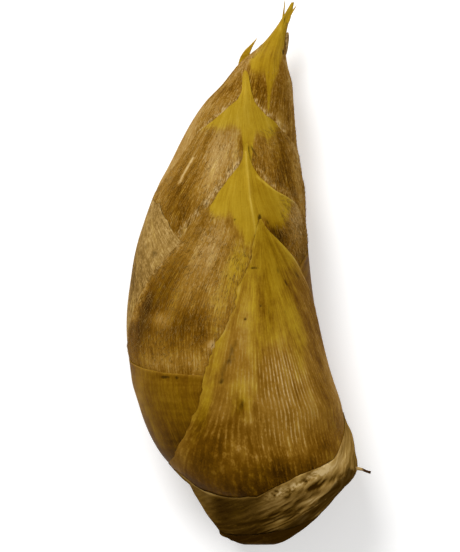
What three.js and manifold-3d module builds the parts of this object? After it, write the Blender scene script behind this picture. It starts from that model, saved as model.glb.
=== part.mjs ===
// A fresh winter bamboo shoot, dug and cut, lying on its back on a table.
//
// A shoot is a short tapering stem with a sheath leaf at every node. The lowest sheath is the
// outermost, each one wraps the next, and they face front and back by turns, so that pointed
// sheath tips overlap up the front like roof tiles. Two older sheaths were torn off at the
// foot and left collars there.
//
// Everything is placed in the shoot's own coordinates and then laid out in space by skin():
//   s      station along the shoot in mm, from the cut foot (negative) to the tip (positive)
//   angle  round the shoot in degrees: 0 up, 90 to the right, 180 down, 270 (or -90) to the left
//   depth  mm under the outer skin
// Space is in mm: +Y from foot to tip, +X to the right, +Z up, and z = 0 is the table.
import * as THREE from "three";
import { mergeVertices } from "three/addons/utils/BufferGeometryUtils.js";
import Module from "manifold-3d";

const wasm = await Module();
wasm.setup();

// ---------- the body that the sheaths wrap ----------

// Station, left edge and right edge, seen from above: a horn that bulges to the left.
const BODY = [
  [-93, -4.4, 12.6],
  [-86, -14.2, 21.2],
  [-78, -19.7, 29.8],
  [-70, -24.9, 38.7],
  [-64, -34.3, 40.3],
  [-53, -39.4, 36.2],
  [-38, -42.6, 32.1],
  [-20, -46.4, 26.5],
  [0, -42.9, 24.3],
  [20, -37.5, 24.1],
  [29, -35.2, 23.4],
  [38, -32.6, 21.1],
  [55, -21.4, 20.4],
  [68, -11.2, 17.0],
  [77, -3.0, 14.2],
  [83, 4.6, 14.4],
  [90, 9.9, 15.3],
  [97.2, 15.1, 16.9],
];
const UPPER_BULGE = 0.86; // upper half height, as a share of the half width
const LOWER_BULGE = 0.66; // lower half height: the shoot is flatter below
const FOOT_TILT = 24; // degrees that the foot's rings lean, because the foot bends down
const FOOT_END = -93;
const TILT_REACH = 75; // the lean fades out over this length above the foot
const REST_SINK = 0.7; // how far the round underside would sink below the table
const REST_MIDDLE = -25;
const REST_HALF = 22; // half the length of the flat spot
const TIP_LIFT = 13; // height of the underside at the tip
const FOOT_LIFT = 4.5; // height of the underside at the cut foot

// Lays the sheaths so that the middle of the shoot's bounding box is at x = 0, y = 0.
const SHIFT = [0.2, 0.6];

// ---------- how the sheaths are stacked ----------

const GAP = 0.95; // air between one sheath and the next
const EDGE = 0.65; // thickness of a sheath at its free margin
const EDGE_TAPER = 9; // a sheath thins to its margin over this width
const CLEAR = 4; // the sheath below keeps its full depth this far outside a margin,
const RAMP = 22; // and then rises to the skin over this width
const RIB_HEIGHT = 0.35;
const NARROW = 9; // where the body's half width is under this, clearances shrink with it
const FOOT_REACH = [-92, -82]; // and they shrink to a sixth towards the cut foot

// ---------- small maths ----------

const rad = THREE.MathUtils.degToRad;
const lerp = THREE.MathUtils.lerp;
const clamp01 = (t) => THREE.MathUtils.clamp(t, 0, 1);
const smooth = (t) => THREE.MathUtils.smoothstep(t, 0, 1);

// A monotone cubic through table rows [x, ...values], read at x: no overshoot between rows.
function curveThrough(rows, column) {
  const x = rows.map((r) => r[0]);
  const y = rows.map((r) => r[column]);
  const slope = x.slice(1).map((_, i) => (y[i + 1] - y[i]) / (x[i + 1] - x[i]));
  const tangent = y.map((_, i) => {
    if (i === 0) return slope[0];
    if (i === y.length - 1) return slope[i - 1];
    const product = slope[i - 1] * slope[i];
    return product <= 0 ? 0 : (2 * product) / (slope[i - 1] + slope[i]);
  });
  return (at) => {
    let i = 0;
    while (i < x.length - 2 && at > x[i + 1]) i++;
    const h = x[i + 1] - x[i];
    const t = clamp01((at - x[i]) / h);
    return (
      y[i] * (1 + 2 * t) * (1 - t) ** 2 +
      y[i + 1] * t * t * (3 - 2 * t) +
      h * (tangent[i] * t * (1 - t) ** 2 + tangent[i + 1] * t * t * (t - 1))
    );
  };
}

const leftEdge = curveThrough(BODY, 1);
const rightEdge = curveThrough(BODY, 2);
const middle = (s) => (leftEdge(s) + rightEdge(s)) / 2;
const halfWidth = (s) => (rightEdge(s) - leftEdge(s)) / 2;

// The underside's height above the table: below it along the flat spot, rising to both ends.
function underside(s) {
  const beyond = Math.max(0, Math.abs(s - REST_MIDDLE) - REST_HALF);
  const tipwards = (97.2 - REST_MIDDLE - REST_HALF) / TIP_LIFT ** 0.5;
  const footwards = (REST_MIDDLE - REST_HALF - FOOT_END) / FOOT_LIFT ** 0.5;
  const rise = beyond / (s > REST_MIDDLE ? tipwards : footwards);
  return rise * rise - REST_SINK;
}

// Shoot coordinates to space: an egg-shaped ring at each station, shrunk by the depth.
function skin(s, angle, depth) {
  const half = halfWidth(s);
  const roundTip = smooth((s - 45) / 45); // the rings get rounder, then deeper, to the tip
  const upper = half * lerp(UPPER_BULGE, 1.15, roundTip);
  const lower = half * lerp(LOWER_BULGE, 1.15, roundTip);
  const lean = rad(FOOT_TILT) * (1 - smooth((s - FOOT_END) / TILT_REACH));
  const up = Math.cos(rad(angle));
  const side = Math.sin(rad(angle)) * Math.max(half - depth, 0.05);
  const height = up * Math.max((up > 0 ? upper : lower) - depth, 0.05);
  const ringMiddle = underside(s) + lower * Math.cos(lean);
  return new THREE.Vector3(
    middle(s) + side + SHIFT[0],
    s - height * Math.sin(lean) + SHIFT[1],
    ringMiddle + height * Math.cos(lean),
  );
}

// ---------- the outline of a sheath, unrolled ----------

// rungs: lines across a sheath from its foot to its tip, each [s left, angle left, s right,
// angle right]. u runs from the left margin (0) to the right (1), v from foot to tip.
function sheathOutline(rungs) {
  const rows = rungs.map((rung, i) => [i / (rungs.length - 1), ...rung]);
  const [sLeft, aLeft, sRight, aRight] = [1, 2, 3, 4].map((c) => curveThrough(rows, c));
  return (u, v) => [lerp(sLeft(v), sRight(v), u), lerp(aLeft(v), aRight(v), u)];
}

// A band's veins run straight up between a foot line and an upper line, both of [angle, s].
function bandOutline(footLine, upperLine) {
  const foot = curveThrough(footLine, 1);
  const upper = curveThrough(upperLine, 1);
  return (u, v) => {
    const angle = lerp(footLine[0][0], footLine.at(-1)[0], u);
    return [lerp(foot(angle), upper(angle), v), angle];
  };
}

// The outline as a polygon of [s, angle], for measuring how far a point is inside it.
function polygonOf(place, closed) {
  const STEPS = 40;
  const along = Array.from({ length: STEPS }, (_, i) => i / STEPS);
  if (!closed)
    return [
      ...along.map((t) => place(t, 0)),
      ...along.map((t) => place(1, t)),
      ...along.map((t) => place(1 - t, 1)),
      ...along.map((t) => place(0, 1 - t)),
    ];
  // A collar has no side margins: its lines run on for a quarter turn past both ends.
  const turned = (t, v) => {
    const over = lerp(-0.25, 1.25, t);
    const [s, angle] = place(over - Math.floor(over), v);
    return [s, angle + 360 * Math.floor(over)];
  };
  return [...along.map((t) => turned(t, 0)), ...along.map((t) => turned(1 - t, 1))];
}

// Signed distance in mm from (s, angle) to the polygon's edge, positive inside.
function insideBy(polygon, s, angle) {
  const mmPerDegree = rad(1) * halfWidth(s);
  let nearest = Infinity;
  let inside = false;
  for (let i = 0; i < polygon.length; i++) {
    const [s1, a1] = polygon[i];
    const [s2, a2] = polygon[(i + 1) % polygon.length];
    const [x1, y1] = [(a1 - angle) * mmPerDegree, s1 - s];
    const [x2, y2] = [(a2 - angle) * mmPerDegree, s2 - s];
    const [dx, dy] = [x2 - x1, y2 - y1];
    const t = clamp01(-(x1 * dx + y1 * dy) / (dx * dx + dy * dy || 1));
    nearest = Math.min(nearest, Math.hypot(x1 + t * dx, y1 + t * dy));
    if (y1 > 0 !== y2 > 0 && x1 - (y1 * dx) / dy > 0) inside = !inside;
  }
  return inside ? nearest : -nearest;
}

// Angles repeat every 360 degrees, so the sheath is looked for one turn each way too.
function insideSheath(sheath, s, angle) {
  return Math.max(...[-360, 0, 360].map((turn) => insideBy(sheath.polygon, s, angle + turn)));
}

// ---------- the sheaths, outermost first ----------

const SHEATHS = [
  {
    name: "collar_lower",
    closed: true,
    thickness: 1.0,
    columns: 22,
    rows: 3,
    fold: 2,
    place: bandOutline(
      [[-180, -90.5], [-90, -93.5], [0, -91.5], [90, -89], [180, -90.5]],
      [[-180, -84], [-90, -92], [-50, -90.8], [0, -86.5], [46, -83.5], [90, -78.5], [135, -80], [180, -84]],
    ),
  },
  {
    name: "collar_upper",
    closed: true,
    thickness: 1.1,
    columns: 28,
    rows: 4,
    fold: 2,
    place: bandOutline(
      [[-180, -81], [-90, -90], [-50, -88.5], [0, -84.5], [46, -81], [90, -76], [135, -77.5], [180, -81]],
      [
        [-180, -66], [-120, -66.5], [-90, -67], [-62, -69], [-42, -73.2], [-15, -73.4],
        [10, -69.5], [32, -65.3], [48, -62.8], [66, -56], [90, -49], [125, -56], [180, -66],
      ],
    ),
  },
  {
    name: "sheath_1",
    thickness: 1.3,
    columns: 32,
    rows: 15,
    fold: 2,
    place: sheathOutline([
      [-78, -112, -78, 178],
      [-74.5, -99, -73.5, 172],
      [-71, -86, -69, 166],
      [-67, -75, -63.5, 158],
      [-63, -63, -58, 150],
      [-58.5, -50, -52, 142],
      [-54, -38, -46, 134],
      [-46, -26, -38, 124],
      [-38, -16, -30, 112],
      [-22, -1, -13, 86],
      [-8, 9, -1, 71],
      [4, 17, 8, 52],
      [12, 21, 14, 38],
      [18.5, 26, 18.5, 29],
    ]),
  },
  {
    name: "sheath_2",
    thickness: 1.3,
    columns: 27,
    rows: 10,
    fold: 2,
    place: bandOutline(
      [[19, -66], [371, -66]],
      [
        [19, -52], [33, -37], [48, -18], [66, 0], [84, 7.6], [108, 13], [145, 19], [165, 27],
        [182, 38], [200, 22], [222, 0], [242, -20], [262, -30], [292, -32.5], [325, -34.5],
        [350, -37], [371, -50],
      ],
    ),
  },
  {
    name: "sheath_3",
    thickness: 1.2,
    columns: 26,
    rows: 13,
    fold: 2,
    place: sheathOutline([
      [-54, -168, -54, 186],
      [-48, -151, -46, 179],
      [-42, -135, -38, 172],
      [-37, -119, -30, 162],
      [-32, -103, -22, 152],
      [-22, -74, -5, 128],
      [-13, -63, 8, 105],
      [-4, -50, 17, 83],
      [7, -34, 22, 70],
      [15, -22, 26, 52],
      [23.4, -9.5, 29, 37],
      [31, 0, 33.5, 24],
      [38, 4.5, 39, 15],
      [46, 6.5, 46, 10.6],
      [54, 6.4, 54, 8.2],
    ]),
  },
  {
    name: "sheath_4",
    thickness: 1.1,
    columns: 26,
    rows: 11,
    fold: 1,
    place: bandOutline(
      [[18, -42], [372, -42]],
      [
        [18, -28], [30, -20], [45, -8], [62, 4], [82, 14], [104, 22], [128, 29], [148, 36],
        [170, 46], [187, 59], [204, 46], [225, 39], [250, 33], [278, 27.5], [306, 23.4],
        [317, 17.3], [331, 10], [341, 2], [350, -10], [360, -25], [372, -32],
      ],
    ),
  },
  {
    name: "sheath_5",
    thickness: 1.1,
    columns: 24,
    rows: 13,
    fold: 2,
    place: sheathOutline([
      [-29, -168, -29, 186],
      [-12, -145, -10, 172],
      [5, -125, 8, 155],
      [20, -100, 23, 132],
      [30, -83, 35, 110],
      [38, -66, 43, 88],
      [44.3, -56.7, 48, 64],
      [50.8, -41.7, 52.2, 49.5],
      [54.8, -34, 55, 33],
      [58.5, -20, 58.5, 19],
      [62, -12.5, 62, 7],
      [66, -14, 66, -4.5],
      [71.5, -23, 71.5, -17],
    ]),
  },
  {
    name: "sheath_6",
    thickness: 1.0,
    columns: 24,
    rows: 13,
    fold: 1,
    // The blade stands free to the left: its tip is pushed from the skin by this much.
    tipPush: [-4.4, 0, -0.6],
    tipFrom: 0.8,
    place: sheathOutline([
      [-14, 22, -14, 376],
      [5, 38, 8, 362],
      [22, 58, 24, 345],
      [36, 80, 38, 328],
      [48, 104, 48, 312],
      [57, 130, 56, 300],
      [64, 160, 63, 286],
      [69, 190, 69, 272],
      [73, 218, 73, 262],
      [77, 236, 77, 256],
      [83.5, 246, 83.5, 256],
    ]),
  },
  {
    name: "sheath_7",
    thickness: 0.95,
    columns: 24,
    rows: 13,
    fold: 1,
    place: sheathOutline([
      [3, -165, 3, 185],
      [22, -148, 25, 165],
      [40, -128, 43, 145],
      [55, -112, 57, 122],
      [66, -100, 68, 105],
      [75, -92, 77, 92],
      [82, -82, 84, 80],
      [88, -72, 89, 70],
      [93, -58, 93, 58],
      [97.2, -30, 97.2, 30],
    ]),
  },
  {
    name: "sheath_8",
    thickness: 0.85,
    columns: 20,
    rows: 10,
    fold: 1,
    tipPush: [2, 0, -1],
    tipFrom: 0.74,
    place: sheathOutline([
      [20, 5, 20, 355],
      [38, 28, 38, 335],
      [52, 52, 52, 312],
      [63, 75, 63, 288],
      [72, 88, 72, 258],
      [79, 96, 79, 215],
      [83.5, 100, 83.5, 165],
      [87, 108, 87, 135],
    ]),
  },
  {
    name: "sheath_9",
    thickness: 0.8,
    columns: 18,
    rows: 11,
    fold: 1,
    tipPush: [-2.4, 0, -0.4],
    tipFrom: 0.8,
    place: sheathOutline([
      [36, -170, 36, 170],
      [50, -155, 50, 145],
      [62, -145, 62, 110],
      [72, -140, 72, 70],
      [80, -135, 80, 25],
      [87, -130, 87, -25],
      [92, -120, 92, -60],
      [97, -100, 97, -80],
    ]),
  },
];
for (const sheath of SHEATHS) sheath.polygon = polygonOf(sheath.place, sheath.closed);

// How deep the outer face of sheath `order` lies at (s, angle): under every sheath that comes
// before it, fully where that one covers the spot, and not at all well outside its margin.
function depthUnder(order, s, angle) {
  const narrow = s > 0 ? Math.min(1, halfWidth(s) / NARROW) : 1;
  const reach = lerp(1 / 6, 1, smooth((s - FOOT_REACH[0]) / (FOOT_REACH[1] - FOOT_REACH[0])));
  let depth = 0;
  for (const outer of SHEATHS.slice(0, order)) {
    const outside = -insideSheath(outer, s, angle);
    const cover = 1 - smooth((outside / (narrow * reach) - CLEAR) / RAMP);
    depth += (outer.thickness + GAP * lerp(0.5, 1, narrow)) * cover;
  }
  return depth;
}

// ---------- meshes ----------

// A closed shell between an outer and an inner face, each given as rows of points from foot to
// tip. The outer face has `fold` (1 or 2) columns for each one of the inner. Where `closed`,
// the last column joins the first.
function shellGeometry(outer, inner, fold, closed) {
  const positions = [];
  const put = (rows) =>
    rows.map((row) =>
      row.map((p) => {
        positions.push(p.x, p.y, p.z);
        return positions.length / 3 - 1;
      }),
    );
  const out = put(outer);
  const into = put(inner);
  const faces = [];
  const across = (a, b) => Math.hypot(...[0, 1, 2].map((k) => positions[3 * a + k] - positions[3 * b + k]));
  // Each patch is split along its shorter diagonal, so both faces are split alike.
  const quad = (a, b, c, d) =>
    across(b, d) < across(a, c) ? faces.push(a, b, d, b, c, d) : faces.push(a, b, c, a, c, d);
  const wrap = (row, j) => row[closed ? j % row.length : j];
  const last = out.length - 1;
  const outColumns = closed ? out[0].length : out[0].length - 1;
  const inColumns = outColumns / fold;
  for (let i = 0; i < last; i++) {
    const patch = (rows, j, k) =>
      quad(wrap(rows[i], j), wrap(rows[i], k), wrap(rows[i + 1], k), wrap(rows[i + 1], j));
    for (let j = 0; j < outColumns; j++) patch(out, j, j + 1);
    for (let j = 0; j < inColumns; j++) patch(into, j + 1, j);
    if (!closed) {
      quad(into[i][0], out[i][0], out[i + 1][0], into[i + 1][0]);
      quad(out[i][outColumns], into[i][inColumns], into[i + 1][inColumns], out[i + 1][outColumns]);
    }
  }
  // The foot's rim and the tip's rim.
  for (const [row, flip] of [[0, false], [last, true]])
    for (let j = 0; j < inColumns; j++) {
      const [i0, i1] = [wrap(into[row], j), wrap(into[row], j + 1)];
      const o = Array.from({ length: fold + 1 }, (_, k) => wrap(out[row], fold * j + k));
      const rim = [[i0, o[1], o[0]], [i0, i1, o[1]]];
      if (fold === 2) rim.push([i1, o[2], o[1]]);
      for (const [a, b, c] of rim) faces.push(...(flip ? [c, b, a] : [a, b, c]));
    }
  return new THREE.BufferGeometry()
    .setAttribute("position", new THREE.Float32BufferAttribute(positions, 3))
    .setIndex(faces);
}

// One sheath: an outer face at its depth, ribbed and thinned to its margins, and an inner face.
function sheathGeometry(order) {
  const sheath = SHEATHS[order];
  const { place, columns, rows, fold, thickness, closed, tipPush, tipFrom } = sheath;
  const push = new THREE.Vector3(...(tipPush ?? [0, 0, 0]));
  const point = (u, v, into) => {
    const [s, angle] = place(u, v);
    const depth = depthUnder(order, s, angle) + into;
    const free = smooth((v - (tipFrom ?? 1)) / (1 - (tipFrom ?? 0)));
    return skin(s, angle, depth).addScaledVector(push, free);
  };
  const fullAt = (u, v) => {
    const [s] = place(u, v);
    return Math.min(thickness, halfWidth(s) * 0.75);
  };
  const face = (count, intoAt) =>
    Array.from({ length: rows + 1 }, (_, i) =>
      Array.from({ length: closed ? count : count + 1 }, (_, j) => {
        const [u, v] = [j / count, i / rows];
        return point(u, v, intoAt(u, v, j));
      }),
    );
  const outer = face(fold * columns, (u, v, j) => {
    const [s, angle] = place(u, v);
    const fromMargin = Math.max(0, closed ? EDGE_TAPER * (1 - v) : insideBy(sheath.polygon, s, angle));
    const atFoot = v < 0.5 ? smooth(1 - 2 * v) : 0;
    const thin = Math.max(0, fullAt(u, v) - EDGE) * (1 - smooth(fromMargin / EDGE_TAPER));
    const groove = fold === 2 && j % 2 === 0 ? RIB_HEIGHT * smooth(fromMargin / EDGE_TAPER) : 0;
    return Math.max(thin * (1 - atFoot), groove);
  });
  // The inner face's flat facets stay outside the round space within: its corners move out.
  const inner = face(columns, (u, v) => {
    const [s, left] = place(0, v);
    const [, right] = place(1, v);
    const facet = rad(right - left) / columns;
    return fullAt(u, v) - halfWidth(s) * (1 / Math.cos(facet / 2) - 1);
  });
  return shellGeometry(outer, inner, fold, closed);
}

// The stem fills what the sheaths leave, from the cut foot to a blunt growing point.
function stemGeometry() {
  const FOOT = -95.4;
  const POINT = 62;
  const ROWS = 19;
  const COLUMNS = 28;
  const positions = [];
  const faces = [];
  for (let i = 0; i <= ROWS; i++) {
    const t = i / ROWS;
    const s = lerp(FOOT, POINT, t ** 1.35); // the rows are closer at the foot
    const blunt = Math.sqrt(1 - Math.max(0, (t - 0.8) / 0.2) ** 2 * 0.98);
    for (let j = 0; j < COLUMNS; j++) {
      const angle = (360 * j) / COLUMNS - 180;
      const ring = Math.max(s, FOOT_END); // below the last ring the stem runs straight on
      const depth = depthUnder(SHEATHS.length, s, angle);
      const core = skin(ring, 0, 1e9);
      const p = skin(ring, angle, depth);
      p.lerp(new THREE.Vector3(core.x, p.y, core.z), 1 - blunt);
      p.y += s - ring;
      positions.push(p.x, p.y, p.z);
    }
  }
  const at = (i, j) => i * COLUMNS + (j % COLUMNS);
  for (let i = 0; i < ROWS; i++)
    for (let j = 0; j < COLUMNS; j++)
      faces.push(at(i, j), at(i, j + 1), at(i + 1, j + 1), at(i, j), at(i + 1, j + 1), at(i + 1, j));
  for (let j = 1; j < COLUMNS - 1; j++) {
    faces.push(at(0, 0), at(0, j + 1), at(0, j));
    faces.push(at(ROWS, 0), at(ROWS, j), at(ROWS, j + 1));
  }
  return new THREE.BufferGeometry()
    .setAttribute("position", new THREE.Float32BufferAttribute(positions, 3))
    .setIndex(faces);
}

// ---------- joining and cutting ----------

function toSolid(geometry) {
  const bare = new THREE.BufferGeometry()
    .setAttribute("position", geometry.getAttribute("position"))
    .setIndex(geometry.index);
  const merged = mergeVertices(bare, 1e-4);
  return new wasm.Manifold(
    new wasm.Mesh({
      numProp: 3,
      vertProperties: merged.attributes.position.array,
      triVerts: new Uint32Array(merged.index.array),
    }),
  );
}

function toGeometry(solid) {
  const mesh = solid.getMesh();
  return new THREE.BufferGeometry()
    .setAttribute("position", new THREE.BufferAttribute(mesh.vertProperties, 3))
    .setIndex(new THREE.BufferAttribute(mesh.triVerts, 1));
}

// Cuts off what is under the table, which leaves the flat spot that the shoot rests on.
function cutAtTable(geometry) {
  const below = new THREE.BoxGeometry(200, 300, 20).translate(0, 0, -10);
  return toGeometry(toSolid(geometry).subtract(toSolid(below)));
}

// A dry strip of the torn collar that curls out from its right-hand side.
function withTornStrip(geometry) {
  const [s, angle] = [-69.5, 90];
  const root = skin(s, angle, depthUnder(1, s, angle) + 0.8);
  const path = new THREE.CatmullRomCurve3([
    root,
    root.clone().add(new THREE.Vector3(2.4, 0.2, 0.3)),
    root.clone().add(new THREE.Vector3(4.4, -0.8, 0.5)),
    root.clone().add(new THREE.Vector3(6.2, -1.1, 0.2)),
  ]);
  const section = new THREE.Shape().absellipse(0, 0, 0.55, 0.8, 0, 2 * Math.PI);
  const strip = new THREE.ExtrudeGeometry(section, { steps: 6, curveSegments: 3, extrudePath: path });
  return toGeometry(toSolid(geometry).add(toSolid(strip)));
}

// ---------- the shoot ----------

// Seen colours, from the leathery brown outer sheaths to the fresh yellow blades within.
const COLOURS = {
  stem: 0xd8c790,
  collar_lower: 0x8f6a35,
  collar_upper: 0xb39a6c,
  sheath_1: 0xa8802f,
  sheath_2: 0x9a8435,
  sheath_3: 0x96702c,
  sheath_4: 0xb49a68,
  sheath_5: 0x8a6322,
  sheath_6: 0xb8a070,
  sheath_7: 0xb79c2a,
  sheath_8: 0x8d7440,
  sheath_9: 0xc4ab45,
};

function piece(name, geometry) {
  const color = COLOURS[name];
  const mesh = new THREE.Mesh(geometry, new THREE.MeshStandardMaterial({ color, roughness: 0.6 }));
  mesh.name = name;
  return mesh;
}

const shoot = new THREE.Group();
shoot.add(piece("stem", stemGeometry()));
SHEATHS.forEach((sheath, order) => {
  const cut = cutAtTable(sheathGeometry(order));
  shoot.add(piece(sheath.name, sheath.name === "collar_upper" ? withTornStrip(cut) : cut));
});

export default shoot;
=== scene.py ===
# %% [markdown]
# # A fresh bamboo shoot
# A winter bamboo shoot is a short, fat, tapering stem wrapped in leathery sheath leaves. Each
# sheath starts at its own ring on the stem and wraps all the younger ones, front and back by
# turns, so their pointed ends overlap up the front like roof tiles. The shoot was dug up and cut,
# and it lies on its back on a table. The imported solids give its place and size, and every solid
# gets a finer piece here: thin ribbed sheets with torn margins, streaks and short hairs.

# %% Load the frame
from collections import namedtuple

import bpy
import numpy as np
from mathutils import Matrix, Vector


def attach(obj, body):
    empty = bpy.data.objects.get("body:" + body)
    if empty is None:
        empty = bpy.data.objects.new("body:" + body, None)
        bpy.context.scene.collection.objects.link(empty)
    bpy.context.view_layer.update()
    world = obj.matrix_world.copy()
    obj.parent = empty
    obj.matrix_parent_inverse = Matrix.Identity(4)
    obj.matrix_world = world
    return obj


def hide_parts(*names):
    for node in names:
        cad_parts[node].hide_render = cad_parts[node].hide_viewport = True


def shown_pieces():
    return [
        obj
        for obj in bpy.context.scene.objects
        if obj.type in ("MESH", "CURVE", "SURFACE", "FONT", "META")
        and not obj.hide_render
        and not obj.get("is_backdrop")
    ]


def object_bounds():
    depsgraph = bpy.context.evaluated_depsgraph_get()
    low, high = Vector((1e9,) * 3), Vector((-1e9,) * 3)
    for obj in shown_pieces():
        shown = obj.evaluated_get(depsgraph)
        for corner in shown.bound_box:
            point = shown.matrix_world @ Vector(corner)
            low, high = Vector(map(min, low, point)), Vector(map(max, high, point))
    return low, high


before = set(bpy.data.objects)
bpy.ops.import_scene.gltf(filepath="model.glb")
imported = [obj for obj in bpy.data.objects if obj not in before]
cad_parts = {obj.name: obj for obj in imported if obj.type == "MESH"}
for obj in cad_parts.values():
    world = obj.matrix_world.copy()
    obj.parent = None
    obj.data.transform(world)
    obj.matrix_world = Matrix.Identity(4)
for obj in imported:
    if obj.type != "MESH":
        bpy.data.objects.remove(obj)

solid_box = [list(corner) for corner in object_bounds()]
scene = bpy.context.scene
print("solids:", sorted(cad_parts))
print("box of the solids, mm:", [[round(1000 * v, 1) for v in corner] for corner in solid_box])

# %% [markdown]
# ## Camera
# A shoot that lies on a table is looked at from straight above. A long lens, far away, keeps the
# shape from spreading towards the edges of the picture, as a short lens would.

# %% Camera
CAMERA_HEIGHT = 1.228  # metres above the table
VIEW_MIDDLE = (-0.0058, -0.00048)  # metres: the place under the camera
VIEW_LENGTH = 0.19872  # metres of the table, at half the shoot's height, that the long side shows
HALF_HEIGHT = 0.028  # metres
SENSOR = 36  # mm
camera = bpy.data.objects.new("camera", bpy.data.cameras.new("camera"))
scene.collection.objects.link(camera)
scene.camera = camera
camera.location = (*VIEW_MIDDLE, CAMERA_HEIGHT)
camera.data.sensor_width = SENSOR
camera.data.lens = SENSOR * (CAMERA_HEIGHT - HALF_HEIGHT) / VIEW_LENGTH
camera.data.clip_start = 0.05
print("lens, mm:", round(camera.data.lens, 1))

# %% [markdown]
# ## Light
# Soft light from a large panel up and to the left gives the satin sheaths long, gentle
# highlights. A weaker panel from the right and an even sky keep the shadows open. The plain view
# transform leaves the colours as they are set, without a film curve.

# %% Light
scene.view_settings.view_transform = "Standard"
scene.world = bpy.data.worlds.new("sky")
scene.world.use_nodes = True
sky = scene.world.node_tree.nodes["Background"]
sky.inputs["Color"].default_value = (1, 0.985, 0.96, 1)
sky.inputs["Strength"].default_value = 0.34


def panel(name, place, size, power):
    """A square light of this size in metres at a place, turned towards the middle of the shoot."""
    light = bpy.data.lights.new(name, "AREA")
    light.size = size
    light.energy = power
    holder = bpy.data.objects.new(name, light)
    scene.collection.objects.link(holder)
    holder.location = place
    aim = holder.location.copy() * -1
    aim.z += HALF_HEIGHT
    holder.rotation_mode = "QUATERNION"
    holder.rotation_quaternion = aim.to_track_quat("-Z", "Y")


panel("window light", (-0.45, 0.75, 0.85), 0.6, 14)
panel("fill light", (0.75, -0.1, 0.8), 0.8, 3.6)
print("lights:", [o.name for o in scene.objects if o.type == "LIGHT"])

# %% [markdown]
# ## Small maths
# Margins, keels and outlines are given as short tables of points. A monotone cubic runs through
# such a table without swinging past its points, which a plain spline would do at the corners.

# %% Small maths
MM = 0.001


def smooth(t):
    """0 up to t = 0, 1 from t = 1, and an S between them: 3 t squared less 2 t cubed."""
    t = np.clip(t, 0, 1)
    return t * t * (3 - 2 * t)


def lerp(a, b, t):
    """a where t is 0, b where t is 1, and a straight line between them."""
    return a + (b - a) * t


def curve(rows, column=1):
    """A function through table rows [x, y, ...]: cubic pieces whose slope at each point is the
    harmonic mean of the slopes beside it, and 0 where those differ in sign."""
    table = np.array(sorted(rows), float)
    x, y = table[:, 0], table[:, column]
    step = np.diff(x)
    slope = np.diff(y) / step
    product = slope[:-1] * slope[1:]
    total = slope[:-1] + slope[1:]
    mean = np.where(product > 0, 2 * product / np.where(product > 0, total, 1), 0)
    tangent = np.concatenate([slope[:1], mean, slope[-1:]])

    def at(q):
        i = np.clip(np.searchsorted(x, q, side="right") - 1, 0, len(x) - 2)
        t = np.clip((q - x[i]) / step[i], 0, 1)
        ends = y[i] * (1 + 2 * t) * (1 - t) ** 2 + y[i + 1] * t * t * (3 - 2 * t)
        return ends + step[i] * t * (1 - t) * (tangent[i] * (1 - t) - tangent[i + 1] * t)

    return at


def noise(a, b, seed):
    """Smooth noise from -1 to 1 on a unit lattice: seeded random values at whole a and b,
    blended between them with an S curve each way."""
    size = 97
    lattice = np.random.default_rng(seed).uniform(-1, 1, (size, size))
    a, b = np.broadcast_arrays(np.asarray(a, float), np.asarray(b, float))
    i, j = np.floor(a).astype(int), np.floor(b).astype(int)
    t, u = smooth(a - i), smooth(b - j)
    corner = lambda di, dj: lattice[(i + di) % size, (j + dj) % size]
    return lerp(lerp(corner(0, 0), corner(1, 0), t), lerp(corner(0, 1), corner(1, 1), t), u)


print("half way up a smooth step:", smooth(0.5))

# %% [markdown]
# ## The body that the sheaths wrap
# Everything is placed in the shoot's own coordinates and then laid out in space: the station s
# in mm along it, from the cut foot (negative) to the tip, the angle round it in degrees, 0 up
# and 90 to the right, and the depth in mm under the outer skin. The outline from above is a
# table of stations, and each ring is an egg that is flatter below, where it lies on the table.

# %% The body
BODY = [
    [-93, -10.3, 18.6], [-89, -13.2, 23.2], [-86, -15.3, 26.6], [-82, -17.5, 30.2],
    [-78, -19.8, 33.4], [-74, -22.0, 36.8], [-70, -26.3, 39.8], [-64, -31.5, 38.9],
    [-59, -34.6, 37.9], [-53, -37.3, 35.4], [-46, -39.6, 33.4], [-38, -41.9, 30.8],
    [-20, -43.7, 26.1], [0, -41.9, 22.8], [20, -37.1, 21.4], [29, -33.6, 21.0],
    [38, -28.9, 19.4], [47, -24.6, 17.9], [55, -20.3, 17.2], [62, -15.3, 16.7],
    [68, -9.5, 16.3], [77, -2.2, 14.3], [83, 5.0, 13.8], [90, 10.7, 14.8],
    [93.2, 12.8, 15.9], [98.9, 16.5, 16.9],
]
TIP_END = BODY[-1][0]
UPPER_BULGE, LOWER_BULGE = 0.86, 0.66  # height of the upper and lower half, over the half width
TIP_BULGE, ROUND_FROM, ROUND_OVER = 1.15, 45, 45  # the same at the tip: it sets in at s = 45
FOOT_TILT, FOOT_END, TILT_REACH = 24, -93, 75  # the foot's rings lean, because the foot bends
TIP_LIFT, FOOT_LIFT = 13, 4.5  # height of the underside above the table at both ends
REST_MIDDLE, REST_HALF, REST_SINK = -25, 22, 0.7  # the flat spot that it rests on
SHIFT_X, SHIFT_Y = 0.5, 0.6  # mm: lays the body over the solids
FOOT_CUT, CUT_SLOPE, CUT_DEPTH = -96.9, 0.05, 20  # the knife cut, which leans a little inwards
TABLE_GAP = 0.02  # mm: nothing lies lower

left_edge, right_edge = curve(BODY, 1), curve(BODY, 2)


def half_width(s):
    """Half the distance between the two edges of the outline."""
    return (right_edge(s) - left_edge(s)) / 2


def underside(s):
    """Height of the underside: just under the table along the flat spot, and rising with the
    square of the distance from it."""
    beyond = np.maximum(0, np.abs(s - REST_MIDDLE) - REST_HALF)
    tipwards = (TIP_END - REST_MIDDLE - REST_HALF) / TIP_LIFT**0.5
    footwards = (REST_MIDDLE - REST_HALF - FOOT_END) / FOOT_LIFT**0.5
    return (beyond / np.where(s > REST_MIDDLE, tipwards, footwards)) ** 2 - REST_SINK


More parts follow.
